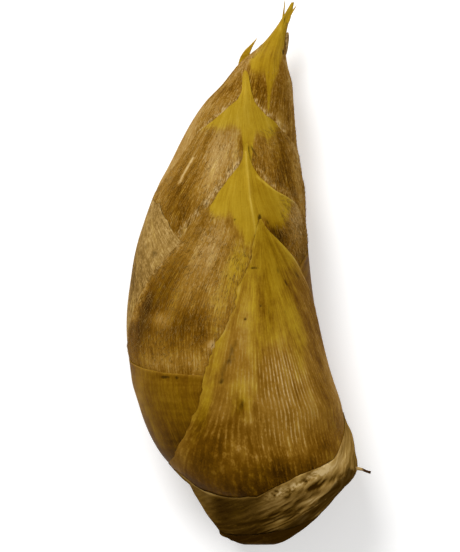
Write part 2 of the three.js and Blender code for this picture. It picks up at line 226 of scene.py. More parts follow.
def degree_mm(s):
    """Millimetres round the body for one degree, at a station."""
    return np.radians(1) * half_width(s)


def skin(s, angle, depth):
    """Shoot coordinates to x, y, z in mm: a point on the ring at s, shrunk by the depth, with
    the ring's plane leaning back towards the foot."""
    half = half_width(s)
    round_tip = smooth((s - ROUND_FROM) / ROUND_OVER)
    upper = half * lerp(UPPER_BULGE, TIP_BULGE, round_tip)
    lower = half * lerp(LOWER_BULGE, TIP_BULGE, round_tip)
    lean = np.radians(FOOT_TILT) * (1 - smooth((s - FOOT_END) / TILT_REACH))
    up = np.cos(np.radians(angle))
    side = np.sin(np.radians(angle)) * np.maximum(half - depth, 0.05)
    height = up * np.maximum(np.where(up > 0, upper, lower) - depth, 0.05)
    cut = FOOT_CUT + CUT_SLOPE * np.minimum(depth, CUT_DEPTH)
    middle = (left_edge(s) + right_edge(s)) / 2
    ring_middle = underside(s) + lower * np.cos(lean)
    x = middle + side + SHIFT_X
    y = np.maximum(s - height * np.sin(lean) + SHIFT_Y, cut)
    z = np.maximum(ring_middle + height * np.cos(lean), TABLE_GAP)
    return np.stack([x, y, z], axis=-1)


print("widest, mm:", round(float(2 * half_width(np.linspace(-93, 97, 200)).max()), 1))

# %% [markdown]
# ## Outlines of the sheaths
# A sheath could be cut from a flat sheet and wrapped, but it is simpler to say where its two
# margins run on the body. A front or back leaf has a left and a right margin, each a table of
# station and angle from its foot to its tip. A broad band, whose point is at the back, has an
# upper line instead: angle and station, from its one side margin to the other.

# %% Outlines
LEAVES = {
    "sheath_1": [
        [(19.2, 24.6), (16.4, 22.8), (12.5, 21.6), (8.2, 20), (3.5, 18.6), (-0.2, 15.8),
         (-4.2, 12), (-9.8, 8.8), (-14, 5.5), (-20.5, 0.5), (-25, -7), (-30.5, -11.2),
         (-38.2, -16.5), (-43.8, -21.5), (-47.2, -26.8), (-53.2, -35.8), (-59.8, -51),
         (-65, -66), (-70, -84), (-78, -112)],
        [(19.2, 26), (16.2, 30), (12.6, 38), (7.5, 50.5), (2.9, 60.2), (-3, 70), (-6.1, 75),
         (-12, 84), (-20, 96), (-36, 120), (-56, 150), (-78, 178)],
    ],
    "sheath_3": [
        [(46.4, 7.4), (44.2, 6.4), (41, 6.0), (38.5, 4), (36.2, 0.5), (31.2, -5.8), (24.8, -11.5),
         (21.5, -15.5), (18.8, -21), (11.2, -29.4), (4.8, -40.5), (-2.5, -52), (-9.8, -62.5),
         (-16.2, -70.8), (-22.3, -77), (-30, -95), (-38, -122), (-54, -168)],
        [(46.4, 8.8), (43.4, 10.4), (41, 12.2), (35, 21), (31.8, 29.5), (29.5, 36.8),
         (27.5, 47.8), (25.5, 58), (23.6, 66), (20.2, 74.9), (10, 98), (-2, 120), (-20, 148),
         (-38, 170), (-54, 186)],
    ],
    "sheath_5": [
        [(73, -31), (72.2, -32.5), (68.5, -24.8), (64.5, -16.2), (62.5, -15.4), (60.5, -20.6),
         (57.8, -26.8), (55, -33.8), (52.5, -42), (50.8, -47.8), (44.3, -56.7), (37.8, -65.9),
         (33.5, -73.7), (30, -83), (20, -100), (5, -125), (-12, -145), (-29, -168)],
        [(73, -28), (72.2, -23), (68.5, -12), (63.8, 1), (60, 12.2), (57.8, 21), (56.2, 27.5),
         (55, 34.8), (51.5, 47), (47.9, 64.2), (45, 79.8), (35, 110), (23, 132), (8, 155),
         (-10, 172), (-29, 186)],
    ],
    "sheath_6": [
        [(-14, 22), (5, 38), (22, 58), (36, 80), (48, 104), (57, 130), (64, 160), (69, 190),
         (73, 218), (76, 234), (80, 249)],
        [(-14, 376), (8, 362), (24, 345), (38, 328), (48, 312), (56, 300), (63, 286),
         (69, 280), (73, 274), (76, 268), (80, 256)],
    ],
    "sheath_7": [
        [(3, -165), (22, -148), (40, -128), (55, -112), (66, -100), (75, -92), (82, -82),
         (88, -74), (93, -72), (98.7, -55)],
        [(3, 185), (25, 165), (43, 145), (57, 122), (68, 105), (77, 92), (84, 80), (89, 72),
         (93, 68), (98.7, 50)],
    ],
    "sheath_8": [
        [(20, 5), (38, 28), (52, 52), (63, 75), (72, 88), (79, 96), (82, 100), (84.5, 108)],
        [(20, 355), (38, 335), (52, 312), (63, 288), (72, 258), (79, 215), (82, 165),
         (84.5, 135)],
    ],
    "sheath_9": [
        [(36, -170), (50, -185), (62, -200), (72, -225), (80, -250), (87, -255), (92, -245),
         (97, -180)],
        [(36, 170), (50, 150), (62, 130), (72, 118), (80, 104), (87, 98), (92, 92), (97, 40)],
    ],
}
BANDS = {
    "collar_lower": [
        [(-180, -92.5), (-90, -93), (0, -93), (90, -92.5), (180, -92.5)],
        [(-180, -84), (-90, -92), (-50, -90.8), (0, -86.5), (46, -83.5), (90, -78.5),
         (135, -80), (180, -84)],
    ],
    "collar_upper": [
        [(-180, -86.5), (-90, -94), (-50, -93), (0, -89.5), (46, -86), (90, -81),
         (135, -82.5), (180, -86.5)],
        [(-180, -66), (-120, -66.5), (-90, -67), (-60, -67.6), (-54, -69.6), (-42.2, -71.6),
         (-23.6, -71.4), (-7.4, -70), (3.3, -68), (17, -65.4), (31.6, -63), (45.5, -62.4),
         (52.5, -61.4), (64, -57.8), (77, -54.5), (92, -51), (125, -56), (180, -66)],
    ],
    "sheath_2": [
        [(19, -66), (371, -66)],
        [(19, -52), (33, -37), (48, -18), (64, 3), (84, 7.6), (108, 13), (145, 19), (165, 27),
         (182, 38), (200, 22), (222, 0), (242, -20), (262, -30), (286.5, -32.1), (318, -34.1),
         (345.5, -34.8), (359, -40), (371, -50)],
    ],
    "sheath_4": [
        [(18, -42), (372, -42)],
        [(18, -28), (30, -20), (45, -8), (62, 4), (82, 14), (104, 22), (128, 29), (148, 36),
         (170, 46), (187, 59), (204, 46), (225, 39), (250, 33), (277, 27.5), (299, 24.6),
         (306.5, 22.6), (313, 19.4), (318.5, 16), (325, 13.8), (333, 10), (341, 2), (350, -10),
         (360, -25), (372, -32)],
    ],
}
ORDER = ["collar_lower", "collar_upper"] + [f"sheath_{n}" for n in range(1, 10)]
PIECES = {
    "collar_lower": "lower_collar", "collar_upper": "upper_collar", "stem": "cut_stem",
    "sheath_1": "front_leaf_1", "sheath_2": "back_leaf_1", "sheath_3": "front_leaf_2",
    "sheath_4": "back_leaf_2", "sheath_5": "front_leaf_3", "sheath_6": "back_leaf_3",
    "sheath_7": "front_leaf_4", "sheath_8": "back_leaf_4", "sheath_9": "inner_leaf",
}
CLOSED = ("collar_lower", "collar_upper")  # these run all round
TIP_CROWDING = 1.25  # above 1, a leaf's rows are closer near its tip


def place(name, u, v):
    """Station and angle at u, from the left margin (0) to the right (1), and v, from the foot (0)
    to the tip or upper line (1)."""
    if name in LEAVES:
        left, right = LEAVES[name]
        foot, tip = sorted((left[0][0], left[-1][0]))
        s = (tip - (tip - foot) * (1 - v) ** TIP_CROWDING) * np.ones_like(u)
        return s, lerp(curve(left)(s), curve(right)(s), u)
    foot_line, upper_line = BANDS[name]
    angle = lerp(foot_line[0][0], foot_line[-1][0], u) * np.ones_like(v)
    return lerp(curve(foot_line)(angle), curve(upper_line)(angle), v), angle


print("sheaths and collars:", len(ORDER))

# %% [markdown]
# ## How the sheaths lie on each other
# Each sheath lifts what lies over it, and thins out to its margin. So that no sheet cuts
# through another, every outline is first turned into a map of the distance to its margin. The
# distance could be worked out afresh for every point of a fine mesh, but a coarse map that is
# read between its points gives the same smooth layers in a fraction of the time.

# %% Distance to each margin
MAP_S = np.arange(-100, 101, 1.0)
MAP_STEP = 2.0  # degrees
MAP_ANGLE = np.arange(-180, 180, MAP_STEP)
SIDE_POINTS = 36


def outline_of(name):
    """The outline as a closed polygon of (station, angle) points. A collar runs all round, so
    its two lines are carried on for a quarter turn past both ends."""
    t = np.linspace(0, 1, SIDE_POINTS, endpoint=False)
    zero, one = np.zeros_like(t), np.ones_like(t)
    if name not in CLOSED:
        sides = [place(name, t, zero), place(name, one, t)]
        sides += [place(name, 1 - t, one), place(name, zero, 1 - t)]
        return np.concatenate([np.stack(side, axis=-1) for side in sides])
    over = lerp(-0.25, 1.25, t)
    foot, upper = place(name, over % 1, zero), place(name, over % 1, one)
    turns = 360 * np.floor(over)
    lines = [np.stack([s, a + turns], axis=-1) for s, a in (foot, upper)]
    return np.concatenate([lines[0], lines[1][::-1]])


def distance_map(name):
    """Signed distance in mm from each map point to the outline, positive inside: the nearest of
    its straight pieces, and inside where a line to the right crosses an odd number of them."""
    ring = outline_of(name)
    best = np.full((len(MAP_S), len(MAP_ANGLE)), -np.inf)
    scale = degree_mm(MAP_S)[:, None, None]
    for turn in (-360, 0, 360):
        x1 = (ring[:, 1] - MAP_ANGLE[None, :, None] - turn) * scale
        y1 = ring[:, 0] - MAP_S[:, None, None] + 0 * x1
        x2, y2 = np.roll(x1, -1, axis=2), np.roll(y1, -1, axis=2)
        dx, dy = x2 - x1, y2 - y1
        t = np.clip(-(x1 * dx + y1 * dy) / np.maximum(dx * dx + dy * dy, 1e-9), 0, 1)
        near = np.hypot(x1 + t * dx, y1 + t * dy).min(axis=2)
        cross = ((y1 > 0) != (y2 > 0)) & (x1 - y1 * dx / np.where(dy == 0, 1, dy) > 0)
        inside = cross.sum(axis=2) % 2 == 1
        best = np.maximum(best, np.where(inside, near, -near))
    return best


MARGIN_MAPS = {name: distance_map(name) for name in ORDER}
print("furthest inside sheath_1, mm:", round(float(MARGIN_MAPS["sheath_1"].max()), 1))

# %% [markdown]
# ## Depth under the outer sheets
# A sheet lies as deep as the layers over it are thick. Each layer fades in across its margin, so
# the sheets bend softly instead of making a step. A cloth simulation could settle the sheets on
# each other, but this sum always gives the same result and keeps every sheet in its order.

# %% Depth under the outer sheets
LAYER = 1.0  # mm from one sheet's outer face to the next one's, well inside its margins
AIR = 0.06  # mm between a sheet and the next one
FADE_OUT, FADE_IN = 5.0, 10.0  # a layer fades in from this far outside its margin to this far in
THIN_BELOW = 14  # mm of half width, under which the layers of the tip get thinner
CUT_SHORT_FROM, CUT_SHORT_OVER = -92, 10  # the fade is short here, and full 10 mm further up


def inside_by(name, s, angle):
    """The distance map read at any station and angle, straight between its points."""
    table = MARGIN_MAPS[name]
    row = np.clip(s - MAP_S[0], 0, len(MAP_S) - 1.001)
    column = ((angle - MAP_ANGLE[0]) / MAP_STEP) % len(MAP_ANGLE)
    i, j = np.floor(row).astype(int), np.floor(column).astype(int)
    t, u = row - i, column - j
    near, far = j % len(MAP_ANGLE), (j + 1) % len(MAP_ANGLE)
    return lerp(lerp(table[i, near], table[i + 1, near], t),
                lerp(table[i, far], table[i + 1, far], t), u)


def layer_at(name, s, angle):
    """How much of a layer the sheath takes up here: its thickness times an S that rises across
    its margin. Layers get thinner where the shoot is narrow, and short at the cut foot."""
    narrow = np.where(s > 0, np.minimum(1, half_width(s) / THIN_BELOW), 1)
    reach = lerp(1 / 6, 1, smooth((s - CUT_SHORT_FROM) / CUT_SHORT_OVER))
    within = inside_by(name, s, angle) / (narrow * reach)
    return LAYER * narrow * smooth((within + FADE_OUT) / (FADE_OUT + FADE_IN))


def depth_under(order, s, angle):
    """Depth of the outer face of sheath number `order`: the layers of all sheaths outside it."""
    total = 0.0 * s
    for name in ORDER[:order]:
        total = total + layer_at(name, s, angle)
    return total


middle_of_front = depth_under(len(ORDER), np.array([-20.0]), np.array([0.0]))
print("depth of the stem under the front, mm:", middle_of_front.round(2))

# %% [markdown]
# ## A sheet as a closed mesh
# One outer grid and one coarser inner grid, joined round all four sides, make a thin closed
# sheet. Solidify could give the thickness too, but here each face of the sheet follows its own
# layer, so neighbours touch nowhere. Eight outer columns share each inner one.

# %% Sheet mesh
FOLD = 8


def grid_quads(first, columns, rows, closed, flip):
    """Corner numbers of all the quads of a grid whose first point has this number, and their
    rows and columns before a closed grid's last column is joined to its first."""
    i, j = (a.ravel() for a in np.meshgrid(np.arange(rows), np.arange(columns), indexing="ij"))
    corners = [(i, j), (i, j + 1), (i + 1, j + 1), (i + 1, j)]
    if flip:
        corners = corners[::-1]
    row, column = (np.stack(part, axis=1) for part in zip(*corners))
    width = columns if closed else columns + 1
    return first + row * width + column % width, row, column


def rim_triangles(row, first_in, columns, closed, flip):
    """The strip between the outer and the inner grid along one row: each inner segment takes a
    fan of eight outer ones, four from each of its ends."""
    j = np.arange(columns // FOLD)
    out_width, in_width = (n if closed else n + 1 for n in (columns, columns // FOLD))
    out = lambda k: row * out_width + (FOLD * j + k) % out_width
    into = lambda k: first_in + row * in_width + (j + k) % in_width
    half = FOLD // 2
    fans = [(into(0), out(k + 1), out(k)) for k in range(half)]
    fans += [(into(0), into(1), out(half))]
    fans += [(into(1), out(k + 1), out(k)) for k in range(half, FOLD)]
    triangles = np.concatenate([np.stack(fan, axis=1) for fan in fans])
    return triangles[:, ::-1] if flip else triangles


def new_piece(name, points, faces):
    """An object from points in mm and a list of face arrays, each with one face a row. Gives the
    object and the point numbers at the corners of its faces, in order."""
    loops = np.concatenate([f.ravel() for f in faces]).astype(np.int32)
    sizes = np.concatenate([np.full(len(f), f.shape[1]) for f in faces])
    mesh = bpy.data.meshes.new(name)
    mesh.vertices.add(len(points))
    mesh.vertices.foreach_set("co", (points * MM).ravel())
    mesh.loops.add(len(loops))
    mesh.loops.foreach_set("vertex_index", loops)
    mesh.polygons.add(len(sizes))
    mesh.polygons.foreach_set("loop_start", (np.cumsum(sizes) - sizes).astype(np.int32))
    mesh.update(calc_edges=True)
    mesh.polygons.foreach_set("use_smooth", np.ones(len(sizes), bool))
    piece = bpy.data.objects.new(name, mesh)
    scene.collection.objects.link(piece)
    return piece, loops


def sheet(name, outer, inner, tones, veins, closed):
    """A closed sheet from an outer and an inner grid of points. tones are numbers on the outer
    grid, kept as attributes, and veins the two coordinates that its streaks run along. On a ring
    veins has one column more, so that the streaks don't run backwards across the seam."""
    out_width, in_width = outer.shape[1], inner.shape[1]
    rows, columns = len(outer) - 1, out_width - (0 if closed else 1)
    first_in = len(outer) * out_width
    out_quads, out_row, out_column = grid_quads(0, columns, rows, closed, False)
    in_quads, in_row, in_column = grid_quads(first_in, columns // FOLD, rows, closed, True)
    faces = [out_quads, in_quads]
    if not closed:
        left_out = np.arange(rows) * out_width
        left_in = first_in + np.arange(rows) * in_width
        right_out, right_in = left_out + columns, left_in + columns // FOLD
        for side in ((left_in, left_out, left_out + out_width, left_in + in_width),
                     (right_out, right_in, right_in + in_width, right_out + out_width)):
            faces.append(np.stack(side, axis=1))
    faces += [rim_triangles(0, first_in, columns, closed, False),
              rim_triangles(rows, first_in, columns, closed, True)]
    points = np.concatenate([outer.reshape(-1, 3), inner.reshape(-1, 3)])
    piece, loops = new_piece(name, points, faces)
    edges = loops[out_quads.size + in_quads.size:]
    is_out = edges < first_in
    number = np.where(is_out, edges, edges - first_in)
    width = np.where(is_out, out_width, in_width)
    edge_column = number % width * np.where(is_out, 1, FOLD)
    at_row = np.concatenate([out_row.ravel(), in_row.ravel(), number // width])
    at_column = np.concatenate([out_column.ravel(), FOLD * in_column.ravel(), edge_column])
    uv = veins[at_row, at_column].astype(np.float32)
    piece.data.uv_layers.new(name="veins").data.foreach_set("uv", uv.ravel())
    painted = {tone: np.concatenate([grid.ravel(), grid[:, ::FOLD].ravel()])
               for tone, grid in tones.items()}
    painted["inside"] = np.arange(len(points)) >= first_in
    for tone, values in painted.items():
        attribute = piece.data.attributes.new(tone, "FLOAT", "POINT")
        attribute.data.foreach_set("value", values.astype(np.float32))
    return piece


print("a sheet's outer columns for each inner one:", FOLD)

# %% [markdown]
# ## From outline to piece
# The grids come from the outline and the layers. Real sheaths have raised veins that fan out
# from the point, so a second pair of coordinates counts the veins across and millimetres along:
# it shapes the ribs here, and the finish uses it for its streaks.

# %% Make one sheath
KEELS = {
    "sheath_1": [(19.2, 25.2), (12, 23.5), (-2.5, 20.5), (-18.8, 16), (-30.5, 12), (-45.5, 6.5),
                 (-60, 2.5), (-80, -2)],
    "sheath_3": [(46.4, 8.1), (36.8, 11.5), (27.5, 15.2), (20.2, 20), (12.5, 22.2), (-54, 9)],
    "sheath_5": [(73, -29), (62.2, -5), (45.8, 8.2), (-29, 9)],
    "sheath_6": [(83.5, 250), (77, 247), (60, 225), (-14, 199)],
    "sheath_7": [(98.7, 0), (76.7, 20.9), (69.5, 24.8), (62.3, 26.1), (58, 25.3), (3, 10)],
    "sheath_2": [(-66, 195), (40, 195)],
    "sheath_4": [(-42, 187), (60, 187)],
    "sheath_8": [(20, 180), (87, 120)],
    "sheath_9": [(36, 0), (97, -90)],
    "collar_lower": [(-95, 0), (-70, 0)],
    "collar_upper": [(-95, 0), (-40, 0)],
}
UV_SCALE = 0.01  # the UV map holds veins and millimetres in hundreds
FIRST_PITCH, FAN, WIDE_FAN = 0.1, 0.0155, 0.0245  # mm at the point, and its growth for each mm
FAN_START, FAN_LENGTH = 3, 62  # mm from the point
TURN_FROM, TURN_OVER, TURN = -38, 34, 1.3  # where and how far the veins on the left turn


def from_keel(name, s, angle):
    """Millimetres round the body from the sheath's keel, more than 0 on its right."""
    return (angle - curve(KEELS[name])(s)) * degree_mm(s)


def vein_number(name, s, angle):
    """Which vein this is, counted from the keel: the distance from it over a pitch that grows
    evenly from the point, as veins in a fan do. Near the foot those on the left turn outwards."""
    round_mm = from_keel(name, s, angle)
    tip = max(station for station, _ in KEELS[name])
    growth = WIDE_FAN if name == "sheath_1" else FAN
    pitch = FIRST_PITCH + growth * np.clip(tip - s - FAN_START, 0, FAN_LENGTH)
    outwards = 1 + TURN * smooth((TURN_FROM - s) / TURN_OVER) * (round_mm < 0)
    return round_mm / (pitch * outwards)


def slanting(s, angle):
    """Millimetres across and along lines that climb by 30 degrees as they go round."""
    cosine, sine = 0.87, 0.5
    round_mm = angle * degree_mm(s)
    return cosine * s - sine * round_mm, cosine * round_mm + sine * s


# Places on a sheath: seen from above, in shoot coordinates, and how far inside its margin.
Spots = namedtuple("Spots", "x y s angle within")
GRIDS = {}  # the outer points of each sheath, and their spots


def make_sheath(name, columns, rows, tones, ribs, jag=(0, 0), relief=None):
    """The piece that stands for one sheath. tones gives its tones for some spots, ribs is the
    depth of the grooves between its veins in mm, jag how ragged its left and right margins are,
    or the upper line of a band, and relief a function that lifts it."""
    closed = name in CLOSED
    order = ORDER.index(name)
    u, v = np.meshgrid(np.linspace(0, 1, columns + 1), np.linspace(0, 1, rows + 1))
    s, angle = place(name, u, v)
    if name in LEAVES:
        one_degree = np.maximum(degree_mm(s), 0.15)
        for side, seed, amount in ((1 - u, 11, jag[0]), (u, 12, -jag[1])):
            ragged = noise(s * 0.33, 3, seed + order) + 0.5 * noise(s * 0.9, 5, seed + order)
            ragged = ragged * smooth((s.max() - s) / 25)
            angle = angle + amount * side**8 * ragged / one_degree
    else:
        ragged = noise(angle * 0.18, 3, 11 + order) + 0.5 * noise(angle * 0.6, 5, 12 + order)
        s = s + jag[0] * v**8 * ragged
    within = inside_by(name, s, angle)
    across, along = slanting(s, angle) if closed else (vein_number(name, s, angle), s)
    swell = 0.22 * noise(s * 0.09, angle * 0.03, 91) * smooth(half_width(s) / 20)
    seen = skin(s, angle, 0 * s)
    lift = relief(Spots(seen[..., 0], seen[..., 1], s, angle, within)) if relief else 0
    depth = depth_under(order, s, angle) + swell - lift
    groove = ribs * (0.5 - 0.5 * np.cos(2 * np.pi * across)) * smooth(within / 5 + 0.2)
    thick = np.minimum(np.maximum(layer_at(name, s, angle) - AIR, 0.16), half_width(s) * 0.5)
    inner_depth = np.maximum(depth + thick, depth + groove + 0.12)
    outer, inner = skin(s, angle, depth + groove), skin(s, angle, inner_depth)
    spots = Spots(outer[..., 0], outer[..., 1], s, angle, within)
    keep = slice(0, columns) if closed else slice(None)
    grids = {tone: np.broadcast_to(grid, s.shape)[:, keep] for tone, grid in tones(spots).items()}
    veins = np.stack([across, along], axis=-1) * UV_SCALE
    piece = sheet(PIECES[name], outer[:, keep], inner[:, keep][:, ::FOLD], grids, veins, closed)
    GRIDS[name] = outer, spots
    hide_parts(name)
    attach(piece, "root")
    print(f"{name}: {len(piece.data.polygons)} faces, {columns} by {rows}")
    return piece


print("veins 10 mm right of the keel of sheath_3, at s = 0:",
      round(float(vein_number("sheath_3", np.array(0.0), np.array(47.0))), 1))

# %% [markdown]
# ## Marks
# Stains, worn patches and lines, and also painted highlights and shadows, are placed as seen
# from above, in millimetres, because that is how a shoot is looked at. They could be painted on
# the skin by hand, but written as soft ovals and bands along a few points they can be moved and
# changed one by one.

# %% Marks
def marks(at, rows):
    """The sum at some spots of soft ovals (x, y, half length, half width, turn, strength): each
    falls off as a bell, and its long side is turned clockwise from +Y by so many degrees."""
    total = 0 * at.x
    for x, y, long, wide, turn, strength in rows:
        c, s = np.cos(np.radians(turn)), np.sin(np.radians(turn))
        along = (at.x - x) * s + (at.y - y) * c
        across = (at.x - x) * c - (at.y - y) * s
        total = total + strength * np.exp(-((along / long) ** 2) - (across / wide) ** 2)
    return total


def band(at, points, wide):
    """1 on a line through the points, falling off as a bell to both sides over this width."""
    best = np.full(at.x.shape, np.inf)
    for (x1, y1), (x2, y2) in zip(points, points[1:]):
        dx, dy = x2 - x1, y2 - y1
        t = np.clip(((at.x - x1) * dx + (at.y - y1) * dy) / (dx * dx + dy * dy), 0, 1)
        best = np.minimum(best, (at.x - x1 - t * dx) ** 2 + (at.y - y1 - t * dy) ** 2)
    return np.exp(-best / wide**2)


def below_line(at, line, soft):
    """0 under a line of (x, y) points and 1 over it, in an S this many mm high."""
    return smooth((at.y - curve(line)(at.x)) / soft + 0.5)


def near_margin(at, wide):
    """1 at the sheath's margin, falling off as a bell over this width."""
    return np.exp(-((at.within / wide) ** 2))


print("a mark at its middle:", marks(Spots(*np.zeros((5, 1))), [(0, 0, 1, 1, 0, 1)]))

# %% [markdown]
# ## Shader maths
# A finish is a network of nodes. Written node by node it is hard to read, so one small class
# wraps an output socket: sums and products of values add Math nodes, and node() adds any other.

# %% Shader maths
class Value:
    """An output socket in a finish. Arithmetic on it adds a Math node and gives its output."""

    def __init__(self, tree, socket):
        self.tree, self.socket = tree, socket

    def math(self, operation, *others):
        terms = dict(enumerate((self, *others)))
        return node(self.tree, "ShaderNodeMath", {"operation": operation}, terms)

    def __add__(self, other):
        return self.math("ADD", other)

    def __sub__(self, other):
        return self.math("SUBTRACT", other)

    def __mul__(self, other):
        return self.math("MULTIPLY", other)

    def __rsub__(self, other):
        return node(self.tree, "ShaderNodeMath", {"operation": "SUBTRACT"}, {0: other, 1: self})

    __radd__, __rmul__ = __add__, __mul__

    def step(self, low, high):
        """0 below low, 1 above high, and an S between them."""
        settings = {"interpolation_type": "SMOOTHSTEP"}
        terms = {"Value": self, "From Min": low, "From Max": high}
        return node(self.tree, "ShaderNodeMapRange", settings, terms)


def node(tree, kind, settings=None, sockets=None, out=0):
    """Adds a node: its settings first, then values or links for its sockets, by name or number."""
    made = tree.nodes.new(kind)
    for key, value in (settings or {}).items():
        setattr(made, key, value)
    for key, value in (sockets or {}).items():
        if isinstance(value, Value):
            tree.links.new(value.socket, made.inputs[key])
        else:
            made.inputs[key].default_value = value
    return Value(tree, made.outputs[out]) if made.outputs else None


def mix(factor, a, b):
    """Colour a where the factor is 0 and b where it is 1."""
    tree = next(v.tree for v in (factor, a, b) if isinstance(v, Value))
    return node(tree, "ShaderNodeMix", {"data_type": "RGBA"}, {0: factor, 6: a, 7: b}, out=2)


def tint(red, green, blue):
    """A colour as seen on a screen, 0 to 255, as the linear colour that a shader takes."""
    seen = np.array([red, green, blue]) / 255
    linear = np.where(seen < 0.04045, seen / 12.92, ((seen + 0.055) / 1.055) ** 2.4)
    return (*linear, 1)


print("pale tan:", [round(float(c), 3) for c in tint(170, 140, 85)])

# %% [markdown]
# ## The sheath finish
# A sheath is leathery: golden brown with dark and light streaks along its veins, smooth yellow
# where it was covered or is young, and pale where hairs or dry skin catch the light. The tones
# painted on the mesh say where each of these is, and noise stretched along the veins breaks
# their edges up, so that one colour runs into the next in fine streaks.

# %% Sheath finish
BROWNS = [(0, (54, 31, 0)), (0.2, (100, 65, 5)), (0.42, (136, 98, 28)), (0.68, (163, 130, 74)),
          (1, (200, 172, 120))]
DRY = [(0, (50, 30, 3)), (0.1, (73, 50, 12)), (0.2, (96, 69, 23)), (0.42, (135, 104, 49)),
       (0.68, (166, 134, 75)), (1, (204, 176, 124))]
YELLOWS = [(0, (84, 56, 0)), (0.3, (134, 101, 8)), (0.55, (159, 128, 28)),
           (0.8, (176, 146, 50)), (1, (198, 170, 90))]
YELLOW_LINING, DRY_LINING = (160, 132, 46), (92, 68, 28)  # the inner sides


def ramp(value, stops):
    """Colours blended along a value, from stops of place and tint."""
    made = value.tree.nodes.new("ShaderNodeValToRGB")
    elements = made.color_ramp.elements
    while len(elements) < len(stops):
        elements.new(0.5)
    for element, (place_at, seen) in zip(elements, stops):
        element.position, element.color = place_at, tint(*seen)
    value.tree.links.new(value.socket, made.inputs[0])
    return Value(value.tree, made.outputs[0])


def sheath_finish(name, seed, rib_light=0.5, contrast=1.0, gloss=0.02, browns=BROWNS):
    """The tones on the mesh choose from the browns or the yellows: yellow is how young the skin
    is, shade how pale, painted highlights and shade included, stain where it is black, from
    real stains and from painted shade and shadow, fuzz how hairy, fringe where hairs clump and
    ribbed how raised its veins are. rib_light is how much paler the veins are, contrast how
    strong the streaks are, gloss the strength of the reflections and browns the ramp."""
    material = bpy.data.materials.new(name)
    material.use_nodes = True
    tree = material.node_tree
    tree.nodes.clear()
    tone = lambda key: node(tree, "ShaderNodeAttribute", {"attribute_name": key}, out=2)
    veins = node(tree, "ShaderNodeUVMap", {"uv_map": "veins"})
    where = node(tree, "ShaderNodeTexCoord", out=3)

    def streaks(across, along, detail, offset):
        """Noise with so many patches across a vein and along a millimetre, less its mean."""
        stretched = node(tree, "ShaderNodeMapping", {}, {
            "Vector": veins, "Location": (seed + offset, offset, 0),
            "Scale": (across / UV_SCALE, along / UV_SCALE, 1)})
        made = node(tree, "ShaderNodeTexNoise", {"noise_dimensions": "2D"}, {
            "Vector": stretched, "Scale": 1, "Detail": detail, "Roughness": 0.6})
        return made - 0.5

    def blotches(per_metre, detail, offset):
        """Noise with so many patches in a metre, less its mean."""
        moved = node(tree, "ShaderNodeMapping", {}, {
            "Vector": where, "Location": (seed, offset, 0.3)})
        made = node(tree, "ShaderNodeTexNoise", {}, {
            "Vector": moved, "Scale": per_metre, "Detail": detail, "Roughness": 0.65})
        return made - 0.5

    broad = streaks(0.14, 0.035, 3, 0.0)
    fine = streaks(0.6, 0.08, 5, 3.1)
    hair = streaks(1.9, 0.26, 4, 7.7)
    tuft = streaks(1.1, 0.5, 4, 5.3)
    mottle = blotches(120, 5, 0.0)
    grain = blotches(1300, 2, 1.7)
    clump = blotches(480, 4, 4.1)
    across = node(tree, "ShaderNodeSeparateXYZ", {}, {0: veins})
    rib = (across * (2 * np.pi / UV_SCALE)).math("COSINE")
    rib = (rib * 0.5 + 0.5).step(0.35, 1)
    yellow, shade, fuzz = tone("yellow"), tone("shade"), tone("fuzz")
    ribbed, fringe = tone("ribbed"), tone("fringe")

    beads = (hair * 1.6 + tuft * 1.2 + grain * 0.7 + 0.5).step(0.1, 0.8)
    streaky = (broad * 0.5 + fine * 0.4) * contrast + mottle * (0.2 + 0.2 * contrast)
    paleness = shade + streaky * (0.55 + shade - yellow * 0.2)
    pile = (hair * 1.3 + tuft * 0.7 + grain * 0.5).step(-0.1, 0.5)
    paleness = paleness + fuzz * (pile * 0.4 - 0.12) + grain * 0.1
    tufts = (clump * 2.0 + hair * 0.8 + tuft * 0.6 + 0.4).step(0, 1)
    paleness = paleness + fringe * (tufts * 0.62 - 0.12)
    paleness = paleness + ribbed * beads * (rib - 0.3) * rib_light
    feather = broad * 0.9 + fine * 0.9 + hair * 0.7 + mottle * 1.3
    to_yellow = (yellow + feather * (0.35 + 0.65 * contrast)).step(0.0, 1.0)
    colour = mix(to_yellow, ramp(paleness, browns), ramp(paleness + 0.05, YELLOWS))
    haze = fuzz * (1 - to_yellow) * (hair + grain + 0.5) * paleness.step(0.25, 0.8)
    colour = mix(haze * 0.5, colour, tint(166, 138, 88))
    # Near black where the stain tone says: real stains, and painted shade and shadow in creases,
    # gaps and beside raised leaves.
    to_stain_and_shade = tone("stain_and_shade") * (1 + fine * 1.6 + mottle * 2.4 + tuft * 1.4)
    colour = mix(to_stain_and_shade.step(0.2, 0.9) * 0.85, colour, tint(50, 31, 2))
    specks = (mottle * 0.7 + grain * 1.0).step(0.22, 0.3)
    colour = mix(specks * 0.25, colour, tint(84, 56, 8))
    lining = DRY_LINING if browns is DRY else YELLOW_LINING
    colour = mix(tone("inside") * 0.85, colour, tint(*lining))
    height = rib * ribbed * 0.25 + fine * (0.5 * contrast)
    height = height + hair * contrast * (fuzz * 0.7 + 0.35)
    height = height + tuft * (fuzz * 0.5 + 0.1) + fringe * clump * 1.6
    bump = node(tree, "ShaderNodeBump", {}, {
        "Strength": 0.55, "Distance": 0.0004, "Height": height})
    roughness = 0.45 + fuzz * 0.25 + grain * 0.2 + shade * 0.1
    surface = node(tree, "ShaderNodeBsdfPrincipled", {}, {
        "Base Color": colour, "Roughness": roughness, "Normal": bump,
        "Specular IOR Level": gloss, "Specular Tint": (1, 0.8, 0.45, 1)})
    node(tree, "ShaderNodeOutputMaterial", {}, {"Surface": surface})
    return material


def finish(piece, material):
    """Gives a piece its only material."""
    piece.data.materials.append(material)


print("finishes are ready")

# %% [markdown]
# ## Front sheath, outermost
# The big front leaf has the clearest ribs, a smooth yellow upper part and a torn left margin.
# It could be cut from a curved plane and given a picture, but as a grid in shoot coordinates its
# ribs and streaks run with the leaf, and its stains are numbers that can be changed later.

